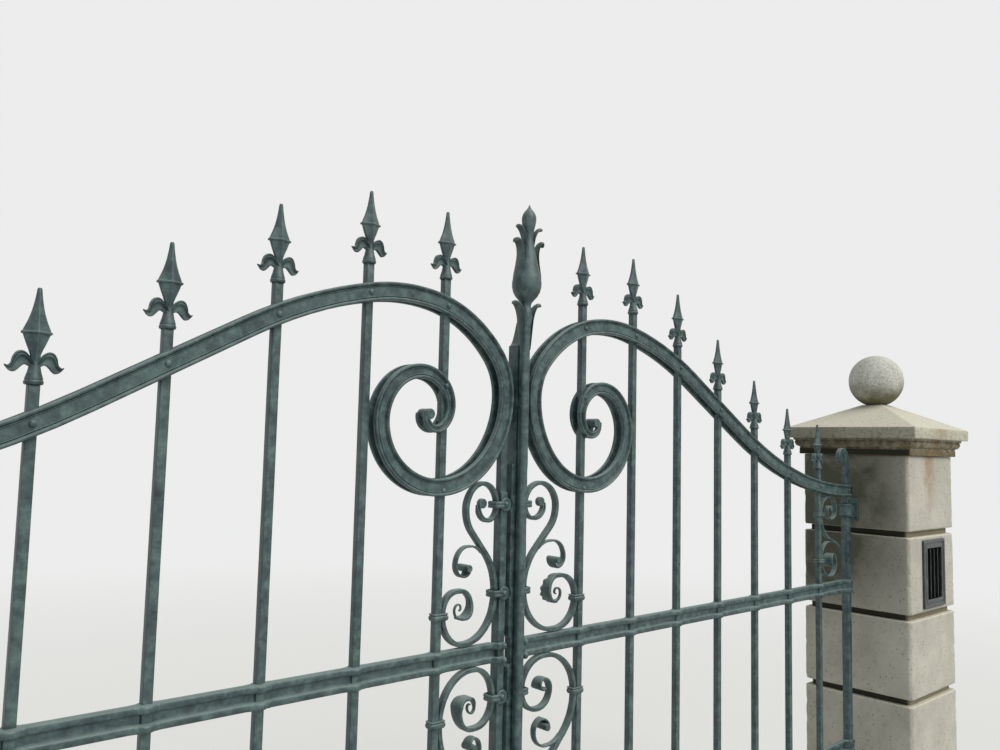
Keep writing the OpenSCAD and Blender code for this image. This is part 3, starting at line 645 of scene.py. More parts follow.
def ball(side, x, seed):
    """Stone ball, flat where it is bedded on the cap, its skin slightly pitted."""
    bed = math.asin(-BALL_FOOT / BALL_R)
    a = np.linspace(bed, math.pi / 2 - 0.01, 60)
    foot = (BALL_R * math.cos(bed) - 6, -BALL_FOOT)
    points, faces = lathe([foot] + [(BALL_R * math.cos(t), BALL_R * math.sin(t)) for t in a], 96)
    pits = 1.2 * np.clip(noise(points, 5.0, seed) - 0.5, 0, 1) + 0.6 * noise(points, 40.0, seed + 1)
    points -= points / np.linalg.norm(points, axis=1, keepdims=True) * pits[:, None]
    centre_z = SHAFT_H + MOULD_H + SLAB_H + PYRAMID_H + BALL_FOOT
    shape = Shape().add((points, faces), (x, 0, centre_z))
    make_dressed(side + "_ball", shape, "pillars", BALL_STONE, sharp=60)


for side, x, seed in (("left", 0.0, 11), ("right", 2 * MIDDLE_X, 29)):
    pillar(side, x, seed)
    cap(side, x, seed + 1)
    ball(side, x, seed + 2)


# Face of the letter plate, from its rim to the slot's edge: inset, and depth from the stone
PLATE_STEPS = [(0, 0), (0, -6.6), (1.4, -8), (8, -8), (9.6, -6.6), (11, -4.4), (15, -4.4), (16.5, -5.6),
               (22, -7.6), (26, -7.6), (28, -6.2), (28, -1.0)]


def letter_plate():
    """Cast plate: a raised outer frame, a second bevelled frame round the slot, three bars."""
    at = np.array([2 * MIDDLE_X, -PILLAR_W / 2, 4 * (COURSE_H + JOINT_H) + COURSE_H / 2])
    shape = Shape().add(stepped(PLATE_W, PLATE_H, PLATE_STEPS, 1, 2.0, 2), at)
    slot_w, slot_h = PLATE_W - 56.0, PLATE_H - 64.0
    rows = [(2.4, -slot_h / 2), (2.8, 2 - slot_h / 2), (2.8, slot_h / 2 - 2), (2.4, slot_h / 2)]
    bar = tube(level_rings(rows, lambda size: soft_rectangle(size, 3.6, 1.2)))
    for i in (-1, 0, 1):
        shape.add(bar, at + [i * slot_w / 4, -4.2, 0])
    bolt_x, bolt_z = PLATE_W / 2 - 8, PLATE_H / 2 - 8
    for sx in (-1, 1):
        for sz in (-1, 1):
            shape.add(dome(4.0, 1.8), at + [sx * bolt_x, -6.2, sz * bolt_z], STREETWARD)
    make_dressed("letter_plate", shape, "pillars", PLATE_IRON)
    # flat black sheet behind the slot: painted shade for the deep slot
    back = stepped(slot_w + 2, slot_h + 10, [(0, -0.8), (0, -1.6)], 1, 2.0, 2)
    make("letter_slot_painted_shade", Shape().add(back, at), "pillars", SLOT_SHADE)


letter_plate()


# Arch bands
VOLUTE_R, VOLUTE_FALL = 205.0, 0.848


def volute_w(i):
    """Width of the band after i eighths of a turn of the volute."""
    return BAND_W * (1 - 0.045 * max(0, i - 1.5) - 0.07 * max(0, i - 6.5))


ARCH_STEPS = ([[1340, 29.3, BAND_W], [296, 0, BAND_W], [875, -17.3, BAND_W], [402, -20, BAND_W],
               [284, -42, BAND_W], [136, -40, BAND_W]]
              + [[VOLUTE_R * VOLUTE_FALL ** i, -45, volute_w(i + 1)] for i in range(9)]
              + [[1.2 * ROLL_D, -145, volute_w(10.5)]])
ARCH = walk(ARCH_STEPS, (HINGE_X + STILE / 2, ARCH_FOOT_Z), 0, BAND_W, fine=2.5, run=30)


def arch_z(x):
    """Height of the band's middle above the bar at x."""
    outer = ARCH[: np.argmax(ARCH[:, 2] < math.radians(-60))]
    return float(np.interp(x, outer[::-1, 0], outer[::-1, 1]))


# Half of the band's face from its middle out to one edge: flat web, a fine bead, the rolled lip
LIP_FROM = 9.0
BAND_FRONT = -18.0
BAND_FACE = np.array([(LIP_FROM, -12.8), (9.4, -14.6), (10.0, -15.2), (10.7, -14.6), (11.2, -12.6),
                      (11.8, -13.6), (12.5, -16.2), (13.5, -17.4), (15.0, -18.0), (16.6, -17.8),
                      (17.7, -17.0), (18.3, -15.6), (18.5, -14.0), (18.5, -9.0), (18.1, -8.0)])
FILLED = 8   # points of the face that come forward where the band gets narrow
VOLUTE_RIVET_ZS = (1717.0, 1503.0)
# The core of the band's rolled end, from its back to its face: radius, height
KNOB = [(10.4, -8.1), (10.9, -7), (11.0, 6.5), (10.6, 8.2), (9.6, 9.4), (8.0, 9.9), (4.5, 10.0),
        (0.05, 10.0)]


def band_outline(w, fullness):
    """Moulded section of the band at a width w. The web fills up where the band gets narrow."""
    edge = w / 2
    lip_w = BAND_W / 2 - LIP_FROM
    across = (BAND_FACE[:, 0] - LIP_FROM) * min(1, edge / lip_w) + max(edge - lip_w, 0)
    depth = BAND_FACE[:, 1].copy()
    depth[:FILLED] = BAND_FRONT + (depth[:FILLED] - BAND_FRONT) * fullness
    right = np.column_stack([across, depth])
    return np.vstack([right[::-1] * [-1, 1], right])


def arch_band(back):
    """One face of the arch: the band, its rolled end and its rivets."""
    fullness = np.clip((ARCH[:, 3] - 9.0) / 12.0, 0, 1)
    rings = along(ARCH, np.array([band_outline(w, f) for w, f in zip(ARCH[:, 3], fullness)]))
    rings[..., 1] += 0.5 * (noise(rings, 24.0, 9) - 0.5) * (rings[..., 1] < -8.5)
    shape = Shape().add(tube(rings))
    x, z, h, _ = ARCH[-1]
    knob_x, knob_z = side_step((x, z), h, -0.38 * ROLL_D)
    shape.add(lathe(KNOB, 32), (knob_x, -8.0, knob_z), STREETWARD)
    rivets = [(bar, arch_z(bar)) for bar in BAR_XS]
    rivets += [(HINGE_X, ARCH_FOOT_Z)] + [(BAR_XS[-1], z) for z in VOLUTE_RIVET_ZS]
    for x, z in rivets:
        shape.add(dome(6.0, 4.8), (x, -12.6, z), STREETWARD)
    if back:
        shape.points = [p * [1, -1, 1] for p in shape.points]
    return shape


for side in SIDES:
    for face, back in (("front", False), ("back", True)):
        make_leaf_part(side + "_arch_" + face, arch_band(back), 50)


# Bars and finials
def straight_bar(x, z0, z1, w, d, r=1.3, wave=0.35, seed=3):
    """Square bar as rolled: soft arrises, never quite flat or straight."""
    zs = np.concatenate([[z0, z0 + 1.0], np.arange(z0 + 20, z1 - 10, 35.0), [z1 - 1.0, z1]])
    slim = np.zeros(len(zs))
    slim[[0, -1]] = 1.2
    rings = level_rings(zip(slim, zs), lambda size: soft_rectangle(w - size, d - size, r, 2) + [x, 0])
    rings[..., 0] += wave * (noise(rings[:, 0] + [3 * x, 0, 0], 90.0, seed)[:, None] - 0.5)
    return tube(rings)


# Height, half width, half depth at the ridge and half thickness at the side edges
SPEAR = [(9, 9.4, 9.0, 6.5), (20, 8.4, 8.0, 5.2), (30, 6.8, 7.0, 4.6), (38, 6.4, 6.6, 4.2),
         (44, 7.2, 7.0, 3.9), (52, 10.0, 8.4, 3.6), (60, 13.4, 10.0, 3.4), (68, 16.4, 11.2, 3.2),
         (73, 18.2, 12.0, 3.2), (74.2, 18.6, 12.2, 3.4), (74.8, 20.2, 13.4, 5.0), (75.6, 21.0, 14.0, 6.0),
         (77.4, 21.0, 14.0, 6.0), (78.4, 20.4, 13.4, 5.0), (79.2, 19.4, 12.0, 3.4), (86, 16.6, 10.8, 3.2),
         (95, 12.9, 9.2, 3.0), (105, 9.8, 7.8, 2.9), (115, 7.4, 6.4, 2.8), (125, 5.6, 5.0, 2.6),
         (134, 4.3, 4.0, 2.4), (141, 3.6, 3.3, 2.3), (143.4, 2.6, 2.4, 1.8), (144, 1.2, 1.2, 0.8)]
# The bell-shaped foot, where the spear is welded to its bar: radius, height
SPEAR_FOOT = [(8, 0), (11.8, 0), (13.0, 1), (13.5, 2.8), (13.5, 4.4), (12.9, 6), (12.0, 6.8), (12.5, 7.8),
              (12.3, 9.6), (11.2, 13), (9.7, 18), (8.5, 24), (7.3, 30), (6.2, 36)]
# The upper rim and the belly of a finial's leaf, each (reach, height), and its half width
SPEAR_LEAF = [(0.5, 30, 2, 24, 7.8), (5.5, 37, 8.5, 27, 8.8), (11, 45, 12.5, 29, 8.8),
              (18, 49.5, 16, 28, 8.4), (25, 47.5, 19.5, 24.5, 7.8), (29.5, 40, 23, 20.5, 7.0),
              (31.5, 31, 27.5, 17.5, 6.2), (36, 27, 33.5, 19, 5.0), (40, 28, 39.4, 25.6, 2.8)]
# Down the side of a leaf: distance from its rim, share of the half width. Two beads with a
# groove between them, then a hollow down to the belly's edge.
LEAF_SIDE = [(0.0, 0.3), (0.5, 0.7), (1.6, 0.88), (2.9, 0.84), (3.7, 0.64), (4.5, 0.7), (5.6, 1.0),
             (7.2, 0.96), (8.4, 0.66), (11.0, 0.42), (15.0, 0.4), (19.0, 0.52), (21.0, 0.5), (22.0, 0.3)]
HOLLOW_FROM = 8   # the point of LEAF_SIDE where the beads end and the hollow starts


def spear_section(half, ridge, edge):
    """Flat cast section: facets that rise to a rib down the middle, and soft side edges."""
    soft = min(1.0, 0.3 * half)
    rib = min(1.3, 0.3 * half)
    fall = 1.2 if half > 5 else 0.6
    right = [(0.6 * rib, -ridge), (rib, 0.35 - ridge), (1.5 * rib, fall - ridge),
             (half - soft, -edge), (half - 0.3 * soft, -0.6 * edge), (half, 0)]
    right += [(x, -y) for x, y in right[-2::-1]]
    return np.array(right + [(-x, y) for x, y in right[::-1]])


def spear_leaf():
    """Leaf of a finial: two beads along its upper edge and a scooped side below them."""
    rim_x, rim_z, belly_x, belly_z, half = smooth_rows(SPEAR_LEAF, 30)
    rim = np.column_stack([rim_x, rim_z])
    down = np.column_stack([belly_x, belly_z]) - rim
    length = np.linalg.norm(down, axis=1)
    far, wide = np.array(LEAF_SIDE).T
    share = np.outer(np.minimum(length / far[-1], 1), far) / length[:, None]
    hollow, end = share[:, HOLLOW_FROM, None], share[:, -1:]
    share = share + np.clip((share - hollow) / (end - hollow), 0, 1) * (1 - end)
    flat = rim[:, None] + down[:, None] * share[..., None]
    side = half[:, None] * wide
    near = np.stack([flat[..., 0], side, flat[..., 1]], -1)
    return tube(np.concatenate([near, near[:, ::-1] * [1, -1, 1]], 1))


def finial():
    """Cast spear with two curled leaves and the bell-shaped foot that is welded to the bar."""
    shape = Shape()
    shape.add(tube([crosswise(spear_section(half, ridge, edge), 2, z) for z, half, ridge, edge in SPEAR]))
    shape.add(lathe(SPEAR_FOOT, 28))
    for a in (0, 180):
        shape.add(spear_leaf(), turn=about_z(a))
    return shape.part()


FINIAL = finial()
for side in SIDES:
    bars, spears = Shape(), Shape()
    for x in BAR_XS:
        top = arch_z(x) + BAR_ABOVE_ARCH
        bars.add(straight_bar(x, GROUND_GAP, top + 1, BAR, BAR, seed=int(x)))
        spears.add(FINIAL, (x, 0, top))
    make_leaf_part(side + "_bars", bars)
    make_leaf_part(side + "_finials", spears, 32)


# Rails
EYE_R = 16.8
STILE_FACE = HINGE_X - STILE / 2
RAIL_END = STILE_FACE + 0.8 * STILE
HEAD_BACK = {"left": 10.5, "right": 1.0}   # from the stile's inner face to the members' ball heads


def member(lap, first):
    """One rail member along x, from the meeting stile to its lap on the hinge stile. It swells
    into an eye round each bar, and both ends are bent forward over the front of a stile."""
    near_bar = [0, 5, 9, 12.5, 15, 17.5, 21, 26, 34, 60, 95]
    xs = [bar + sign * d for bar in BAR_XS for d in near_bar for sign in (-1, 1)]
    xs = [x for x in xs if lap + 20 < x < STILE_FACE - 34]
    xs += list(np.arange(first, lap + 20, 3))
    xs += list(np.arange(STILE_FACE - 26, RAIL_END - 2, 4)) + [RAIL_END - 1.2, RAIL_END]
    xs = np.array(sorted(set(xs)))
    front = np.interp(xs, [lap + 4, lap + 15, STILE_FACE - 15, STILE_FACE - 4],
                      [-MEET_D / 2 - 4, 0, 0, -STILE / 2 - 4])
    depth = np.interp(xs, [lap + 4, lap + 16, STILE_FACE - 15, STILE_FACE - 4], [4.2, 8, 8, 4])
    tall = np.full(len(xs), MEMBER / 2)
    for bar in BAR_XS:
        d = np.abs(xs - bar)
        eye = np.sqrt(np.clip(EYE_R ** 2 - d ** 2, 0, None))
        neck = 8 + 3 * np.exp(-((d - 17) / 5.0) ** 2)
        depth = np.where(d < 26, np.maximum(np.where(d < BAR, eye, 0), neck), depth)
        tall = np.maximum(tall, MEMBER / 2 + 0.7 * np.exp(-(d / 13.0) ** 4))
    depth[[0, -1]] *= 0.8
    tall[[0, -1]] *= 0.85
    section = rounded(np.linspace(0, 2 * math.pi, 20, endpoint=False), 0.74)
    return tube([crosswise(section * [d, t] + [y, 0], 0, x) for x, y, d, t in zip(xs, front, depth, tall)])


# A panel of the web, its face sunk inside a narrow raised border: inset, depth
WEB_STEPS = [(0, 3), (0, -2.4), (0.8, -3), (4.5, -3), (6.0, -1.6)]


def rail(z, side):
    """Two rounded members with ball heads on the meeting stile and a panelled web between, the
    web's end bent forward and lapped on the hinge stile."""
    lap = MEET_XS[side] + MEET_W / 2
    head_x = lap - HEAD_BACK[side]
    shape = Shape()
    a = np.linspace(0.05 - math.pi / 2, math.pi / 2 - 0.05, 12)
    head = lathe([(7.0 * math.cos(t), 7.0 * math.sin(t)) for t in a], 20)
    one_member = member(lap, head_x - 5)
    for s in (-1, 1):
        middle = z + s * MEMBER_GAP / 2
        shape.add(one_member, (0, 0, middle))
        shape.add(head, (head_x, -MEET_D / 2 - 7.0, middle))
    web_h = MEMBER_GAP - 2
    starts = [lap] + [bar + BAR / 2 for bar in sorted(BAR_XS)]
    ends = [bar - BAR / 2 for bar in sorted(BAR_XS)] + [STILE_FACE - 24]
    for x0, x1 in zip(starts, ends):
        shape.add(stepped(x1 - x0, web_h, WEB_STEPS, 1, 1.5, 2), ((x0 + x1) / 2, 0, z))
    lapped = soft_rectangle(6, web_h, 1.5)
    xs = [STILE_FACE - before for before in (26, 20, 15, 11, 7, 4, 0, -8)] + [RAIL_END - 1, RAIL_END]
    ys = np.interp(xs, [STILE_FACE - 16, STILE_FACE - 4], [0, -STILE / 2 - 3])
    return shape.add(tube([crosswise(lapped + [y, 0], 0, x) for x, y in zip(xs, ys)]), (0, 0, z))


for side in SIDES:
    for level, z in zip(("upper", "middle", "bottom"), RAIL_ZS):
        make_leaf_part(side + "_" + level + "_rail", rail(z, side))


# Scrolls
DRAWN_W = 182.5   # width of the panel in which the paths are drawn
T = SCROLL_T


def fitted(path, x0, k):
    """Moves a drawn path to its panel and squeezes it across by k."""
    made = path.copy()
    made[:, 0] = x0 + k * path[:, 0]
    made[:, 1] = UPPER_Z + path[:, 1]
    made[:, 2] = np.arctan2(np.sin(path[:, 2]), k * np.cos(path[:, 2]))
    return made


def beside(path, q, side):
    """Moves a branch to lie beside a point of its carrier, on its right (1) or left (-1)."""
    px, pz = side_step(q, q[2], side * ((q[3] + path[0, 3]) / 2 + SCROLL_GAP))
    made = path.copy()
    made[:, 0] += px - path[0, 0]
    made[:, 1] += pz - path[0, 1]
    return made


def further(q, length):
    """A path's point moved straight on by a length."""
    return (*ahead(q, q[2], length), q[2], q[3])


def curl(r, fall, turns, way, w0, w1):
    """Steps of a spiral of quarter turns, each radius a share of the one before."""
    return [[r * fall ** i, 90 * way, w0 + (w1 - w0) * (i + 1) / turns] for i in range(turns)]


def rolled_end(path, way, r, half_depth, back=0.0):
    """The end of a bar rolled up solid, its rim level with the bar's outer face."""
    x, z, h, w = path[-1]
    roll_x, roll_z = side_step((x, z), h, way * (r - w / 2))
    points, faces = roll(r, half_depth)
    return points @ STREETWARD.T + [roll_x, back, roll_z], faces


TALL_STEPS = [[116, 45, T], [68, 0, T], [66, -45, T], [54, -90, 0.9 * T], [48, -90, 0.8 * T],
              [32, -90, 0.6 * T], [34, -92, 0.3 * T]]
COIL_END = [[8, 0, 0.6 * T], [17, -90, 0.45 * T], [12, -90, 0.35 * T], [8, -90, 0.3 * T], [5, -90, 0.3 * T]]
UPPER_COILS = {
    "right": [[52, -90, 0.9 * T], [13.5, 0, 0.9 * T], [33, -90, 0.8 * T], [24, -90, 0.6 * T]] + COIL_END,
    "left": [[43, -90, 0.9 * T], [14, 0, 0.9 * T], [32, -90, 0.8 * T], [24, -90, 0.6 * T]] + COIL_END}
LOWER_COILS = {
    "right": [[47, -90, 0.9 * T], [5, 0, 0.9 * T], [38, -90, 0.8 * T], [26, -90, 0.6 * T],
              [14, -90, 0.5 * T], [8, -150, 0.5 * T]],
    "left": [[54, -90, 0.9 * T], [14, 0, 0.9 * T], [46, -90, 0.8 * T], [19, -90, 0.7 * T], [14, 0, 0.6 * T],
             [23, -90, 0.5 * T], [10, -90, 0.4 * T], [13, -90, 0.35 * T], [6, -120, 0.3 * T]]}
COIL_R, CORNER_R = 96, 66   # the coil's first turn, off the stile, and its turn below the bar
# A branch leaves its carrier at one of the carrier's points, counted in steps of 15 degrees
COUNTED = {"fine": 15, "run": 1e9}
BRANCH_AT, STEM_AT, END_COIL_AT = 3, 24, 6
STEM_STEPS = [[26, -100, 0.5 * T], [9, 0, 0.5 * T]]
BRANCH_STEPS = [[55, 45, 0.5 * T], [10, 0, 0.5 * T], [37, 90, 0.55 * T], [24, 90, 0.45 * T],
                [15, 90, 0.4 * T], [8, 90, 0.4 * T], [6, 90, 0.4 * T]]


def coil_path(lap, k, ending):
    """The coil that leaves the stile, runs round the foot of the panel and winds up inside."""
    face = (T / 2 + SCROLL_GAP) / k
    floor_z = (MEMBER_GAP + MEMBER) / 2 + 0.5 + T / 2
    level_run = DRAWN_W - COIL_R - CORNER_R - 2 * face
    steps = [[COIL_R, -90, T], [level_run, 0, T], [CORNER_R, -90, T]] + ending
    return fitted(walk(steps, (face, floor_z + COIL_R), -90, T, fine=1.5), lap, k)


def panel_paths(lap, k):
    """The tall bar, the stem in its leaf and the branch of the scroll above the upper rail."""
    start = ((T / 2 + SCROLL_GAP) / k, 126)
    tall = fitted(walk(TALL_STEPS, start, 90, T), lap, k)
    counted = fitted(walk(TALL_STEPS, start, 90, T, **COUNTED), lap, k)
    stem = fitted(walk(STEM_STEPS, (0, 0), -165, 0.2 * T), 0, k)
    branch = fitted(walk(BRANCH_STEPS, (0, 0), 135, 0.2 * T), 0, k)
    return tall, beside(stem, counted[STEM_AT], -1), beside(branch, further(counted[BRANCH_AT], 8), 1)


def ribbed(path, depths, first, last, count):
    """A flared bar whose rear edge is chased with ribs, like a shell, over a stretch of the way."""
    share = np.linspace(0, 1, len(path))
    half_depth = np.interp(share, *zip(*depths))[:, None] / 2
    t = np.clip((share - first) / (last - first), 0, 1)
    valley = (np.sin(t * math.pi * count) ** 2)[:, None]
    across = np.array([-1, -0.97, -0.88, -0.4, 0, 0.25, 0.5, 0.7, 0.86, 0.96, 1.0])
    full = np.array([0.25, 0.65, 0.95, 1, 1, 1, 1, 1, 0.95, 0.65, 0.25])
    chased = np.clip(across, 0, 1)
    depth = half_depth * across - 1.8 * valley * chased ** 4
    w = path[:, 3, None]
    outer = w / 2 * full - 0.38 * w * valley * chased ** 0.7
    inner = -w / 2 * full
    outlines = np.stack([np.hstack([outer, inner[:, ::-1]]), np.hstack([depth, depth[:, ::-1]])], -1)
    return tube(along(path, outlines))


def turned_below(part, lap):
    """The same scroll turned half round about the middle of the upper rail's panel."""
    points, faces = part
    return np.array([lap + PANEL_OUT, 0, 2 * UPPER_Z]) + points * [-1, 1, -1], faces


END_FACE = BAR_XS[0] + BAR / 2
SWEEP_STEPS = [[86, -70, 0.8 * T], [40, 0, 0.8 * T], [104.5, 67, 0.4 * T]]
CURLED_TOP = curl(57, 0.75, 5, 1, 0.8 * T, 0.4 * T)
END_COIL = [[57, -110, 0.8 * T]] + curl(56, 0.74, 5, -1, 0.7 * T, 0.4 * T)


def end_paths():
    """The bar that sweeps to the hinge stile and curls over at its top, and its lower coil."""
    start = (T / 2 + SCROLL_GAP, 243)
    sweep = fitted(walk(SWEEP_STEPS, start, -90, T), END_FACE, 1)
    counted = fitted(walk(SWEEP_STEPS, start, -90, T, **COUNTED), END_FACE, 1)
    top = fitted(walk(CURLED_TOP, start, 90, T), END_FACE, 1)
    coil = fitted(walk(END_COIL, (0, 0), 20, 0.2 * T), 0, 1)
    x, z, h, w = further(counted[END_COIL_AT], -17)
    return top, sweep, beside(coil, (x, z, h + math.pi, w), -1)


def reversed_path(path):
    """The same path walked from its end to its start."""
    made = path[::-1].copy()
    made[:, 2] += math.pi
    return made


# How deep the coils are: share of the way, depth
UPPER_DEPTHS = {
    "right": [(0, SCROLL_D), (0.33, SCROLL_D), (0.42, 0.85 * FLARE_D), (0.47, FLARE_D),
              (0.53, 0.9 * FLARE_D), (0.58, 0.4 * SCROLL_D), (1, 0.35 * SCROLL_D)],
    "left": [(0, SCROLL_D), (0.42, SCROLL_D), (0.5, 0.75 * FLARE_D), (0.56, 0.8 * FLARE_D),
             (0.62, 0.4 * SCROLL_D), (1, 0.35 * SCROLL_D)]}
LOWER_DEPTHS = {
    "right": [(0, SCROLL_D), (0.5, SCROLL_D), (0.62, 0.6 * FLARE_D), (0.85, FLARE_D), (1, FLARE_D)],
    "left": [(0, SCROLL_D), (0.33, SCROLL_D), (0.45, FLARE_D), (0.54, 0.8 * FLARE_D),
             (0.64, 0.5 * SCROLL_D), (1, 0.4 * SCROLL_D)]}


def scrolls(side):
    """The scroll bars and the coils of one leaf."""
    lap = MEET_XS[side] + MEET_W / 2
    k = (PANEL_OUT - lap) / DRAWN_W
    bars, coils = Shape(), Shape()
    tall, stem, branch = panel_paths(lap, k)
    tall_bar = ribbon(tall, [(0, SCROLL_D), (0.8, SCROLL_D), (0.94, 0.75 * SCROLL_D), (1, 0.3 * SCROLL_D)])
    bars.add(tall_bar).add(turned_below(tall_bar, lap))
    small = [ribbon(stem, [(0, SCROLL_D), (1, 0.7 * SCROLL_D)]), rolled_end(stem, -1, 10.5, 6.0),
             ribbon(branch, [(0, 0.8 * SCROLL_D), (0.4, SCROLL_D), (0.75, FLARE_D), (1, FLARE_D)]),
             rolled_end(branch, 1, 7.5, FLARE_D / 2)]
    for part in small:
        coils.add(part).add(turned_below(part, lap))
    upper_coil = coil_path(lap, k, UPPER_COILS[side])
    if side == "right":
        coils.add(ribbed(upper_coil, UPPER_DEPTHS[side], 0.36, 0.58, 6))
    else:
        coils.add(ribbon(upper_coil, UPPER_DEPTHS[side]))
    coils.add(turned_below(ribbon(coil_path(lap, k, LOWER_COILS[side]), LOWER_DEPTHS[side]), lap))
    top, sweep, end_coil = end_paths()
    bars.add(ribbon(np.vstack([reversed_path(top), sweep[1:]]),
                    [(0, 0.8 * SCROLL_D), (0.5, SCROLL_D), (1, 0.6 * SCROLL_D)]))
    bars.add(rolled_end(top, 1, 9.0, 10.0))
    coils.add(ribbon(end_coil, [(0, 0.8 * SCROLL_D), (0.55, SCROLL_D), (0.8, FLARE_D), (1, FLARE_D)]))
    make_leaf_part(side + "_scroll_bars", bars, 50)
    make_leaf_part(side + "_scroll_coils", coils, 50)


for side in SIDES:
    scrolls(side)


# Collars and straps
BOUND_W = SCROLL_T + 1.8
COLLAR_DZS = (90, -120)
END_COLLAR_DZS = (241, 92)
# How far each turn stands out, by height: a fat roll with a thin one on top
COLLAR_RINGS = [(-7.5, 0.4), (-7.2, 2.0), (-5.6, 3.6), (-3.4, 4.7), (-1.0, 5.0), (1.4, 4.4), (3.0, 3.0),
                (3.6, 2.0), (4.2, 2.8), (5.0, 4.0), (6.2, 4.3), (7.1, 3.4), (7.5, 0.4)]


def collar(x0, x1, z):
    """Forged band round a bar and the scroll beside it."""
    rings = []
    for dz, wall in COLLAR_RINGS:
        outline = soft_rectangle(x1 - x0 + 2 * wall, BAR + 2 * wall, wall + 1.0, 4)
        rings.append(crosswise(outline + [(x0 + x1) / 2, 0], 2, z + dz))
    return tube(rings)


def twin_bar(xs, ys, fullness, z):
    """Two round bars side by side, forged as one strap that runs along x."""
    angles = np.linspace(0, 2 * math.pi, 32, endpoint=False)
    up = np.sin(angles)
    lobe = np.sqrt(np.clip(1 - ((np.abs(up) - 0.5) / 0.5) ** 2, 0, 1))
    half = np.maximum(lobe, 0.45) * (np.abs(up) < 0.98) * np.sign(np.cos(angles))
    rings = []
    for x, y, f in zip(xs, ys, fullness):
        outline = np.column_stack([y + 2.6 * f * half, z + 7.5 * (0.6 + 0.4 * f) * up])
        rings.append(crosswise(outline, 0, x))
    return tube(rings)


def stile_strap(meet_x, arm_x, z):
    """A doubled strap riveted to both faces of the stile, bent round the scroll beside it."""
    lap = meet_x + MEET_W / 2
    right = lap + BOUND_W + 5
    xs = [arm_x, arm_x + 1.5, arm_x + 5, lap - 4, lap + 2, lap + 8, right - 4, right - 1]
    shape = Shape()
    for s in (-1, 1):
        face = MEET_D / 2 + 2.5
        ys = [s * face] * 5 + [s * (face - 0.6), s * (face - 1.4), s * (face - 3)]
        shape.add(twin_bar(xs, ys, [0.7, 0.95, 1, 1, 1, 1, 0.95, 0.7], z))
    angles = np.linspace(0, 2 * math.pi, 16, endpoint=False)
    for dz in (-3.6, 3.6):
        rings = []
        for a in np.linspace(-1, 1, 15):
            bow = right - 2.4 + 1.2 * math.cos(a * math.pi / 2)
            outline = np.column_stack([bow + 2.4 * np.cos(angles), z + dz + 3.7 * np.sin(angles)])
            rings.append(crosswise(outline, 1, a * (MEET_D / 2 + 1)))
        shape.add(tube(rings))
    return shape.part()


ARM_XS = {"left": MEET_XS["left"] - 4, "right": POST_X + 21.0}
for side in SIDES:
    shape = Shape()
    inner, outer = BAR_XS[-1], BAR_XS[0]
    for dz in COLLAR_DZS:
        shape.add(collar(inner - BAR / 2 - BOUND_W, inner + BAR / 2, UPPER_Z + dz))
    for dz in END_COLLAR_DZS:
        shape.add(collar(outer - BAR / 2, outer + BAR / 2 + BOUND_W, UPPER_Z + dz))
    for z in STRAP_ZS:
        shape.add(stile_strap(MEET_XS[side], ARM_XS[side], z))
    make_leaf_part(side + "_collars", shape, 50)


WASHER = [(14.2, 0), (15.0, 0.8), (15.0, 2.4), (14.0, 3.6), (12.6, 4.0), (9.5, 4.0), (8.6, 3.5),
          (0.05, 3.5)]
WASHER_X = MEET_XS["left"] - 3


def washers():
    """Round washers with a fat rivet, where the straps are fixed to the left leaf's stile."""
    shape = Shape()
    for z in STRAP_ZS:
        shape.add(lathe(WASHER, 36), (WASHER_X, -MEET_D / 2, z), STREETWARD)
        shape.add(dome(6.4, 4.6, 24), (WASHER_X, -MEET_D / 2 - 4.0, z), STREETWARD)
    return shape


make_leaf_part("left_washers", washers())


# Hinges and hinge stiles
BORE_R, RING_R = 13.1, 19.1
# Upper half of the ring's outer face, from its rim to its middle: beyond its radius, height
RING_BEADS = [(-0.6, 20), (2.2, 19.4), (3, 17.6), (2.6, 15.6), (0.8, 14.4), (2.2, 13.2), (2.4, 11.6),
              (1.4, 10.4), (0, 9.8)]
REACH = WALL_X - HINGE_X
ARM_W, ARM_H = 16.0, 24.0
WALL_PLATE_W, WALL_PLATE_H = 36.0, 76.0
# Steps of the arm, of the saddle round it and of the wall plate: inset, distance from the stile
ARM_STEPS = [(0, RING_R - 5), (0, RING_R + 2), (0, REACH - 7)]
SADDLE_STEPS = [(0, RING_R + 1.5), (-1.6, RING_R + 3.2), (-1.6, RING_R + 6.4), (0, RING_R + 8)]
WALL_PLATE_STEPS = [(0, REACH), (0, REACH - 6.6), (1.4, REACH - 8)]


def hinge(z):
    """Beaded ring round the stile's neck, its arm, and the wall plate with its two bolts."""
    at = (HINGE_X, 0, z)
    upper = [(RING_R + out, up) for out, up in RING_BEADS]
    lower = [(r, -up) for r, up in upper]
    bore_foot, bore_top = (BORE_R, -RING_H / 2), (BORE_R, RING_H / 2)
    points, faces = lathe([bore_foot] + lower + upper[::-1] + [bore_top, bore_foot], 44)
    shape = Shape().add((points[:-2], faces[:1]), at)   # without the lathe's end caps
    shape.add(stepped(ARM_W, ARM_H, ARM_STEPS, 0, 2.5), at)
    shape.add(stepped(ARM_W, ARM_H, SADDLE_STEPS, 0, 3), at)
    shape.add(stepped(WALL_PLATE_W, WALL_PLATE_H, WALL_PLATE_STEPS, 0, 3), at)
    bolt_head = lathe([(7.6, -0.5), (7.6, 4.2), (6.6, 5.2)], 6)
    for dz in (-27, 27):
        shape.add(bolt_head, (WALL_X - 8, 0, z + dz), INWARD)
    return shape


for side, sign in SIDES.items():
    for level, z in zip(("top", "low"), HINGE_ZS):
        make_dressed(side + "_" + level + "_hinge", hinge(z), "pillars", IRON, side=sign)


CROOK_Z = ARCH_FOOT_Z + 110
CROOK_STEPS = [[STILE, -180, 0.6 * STILE], [11, -100, 0.5 * STILE]]


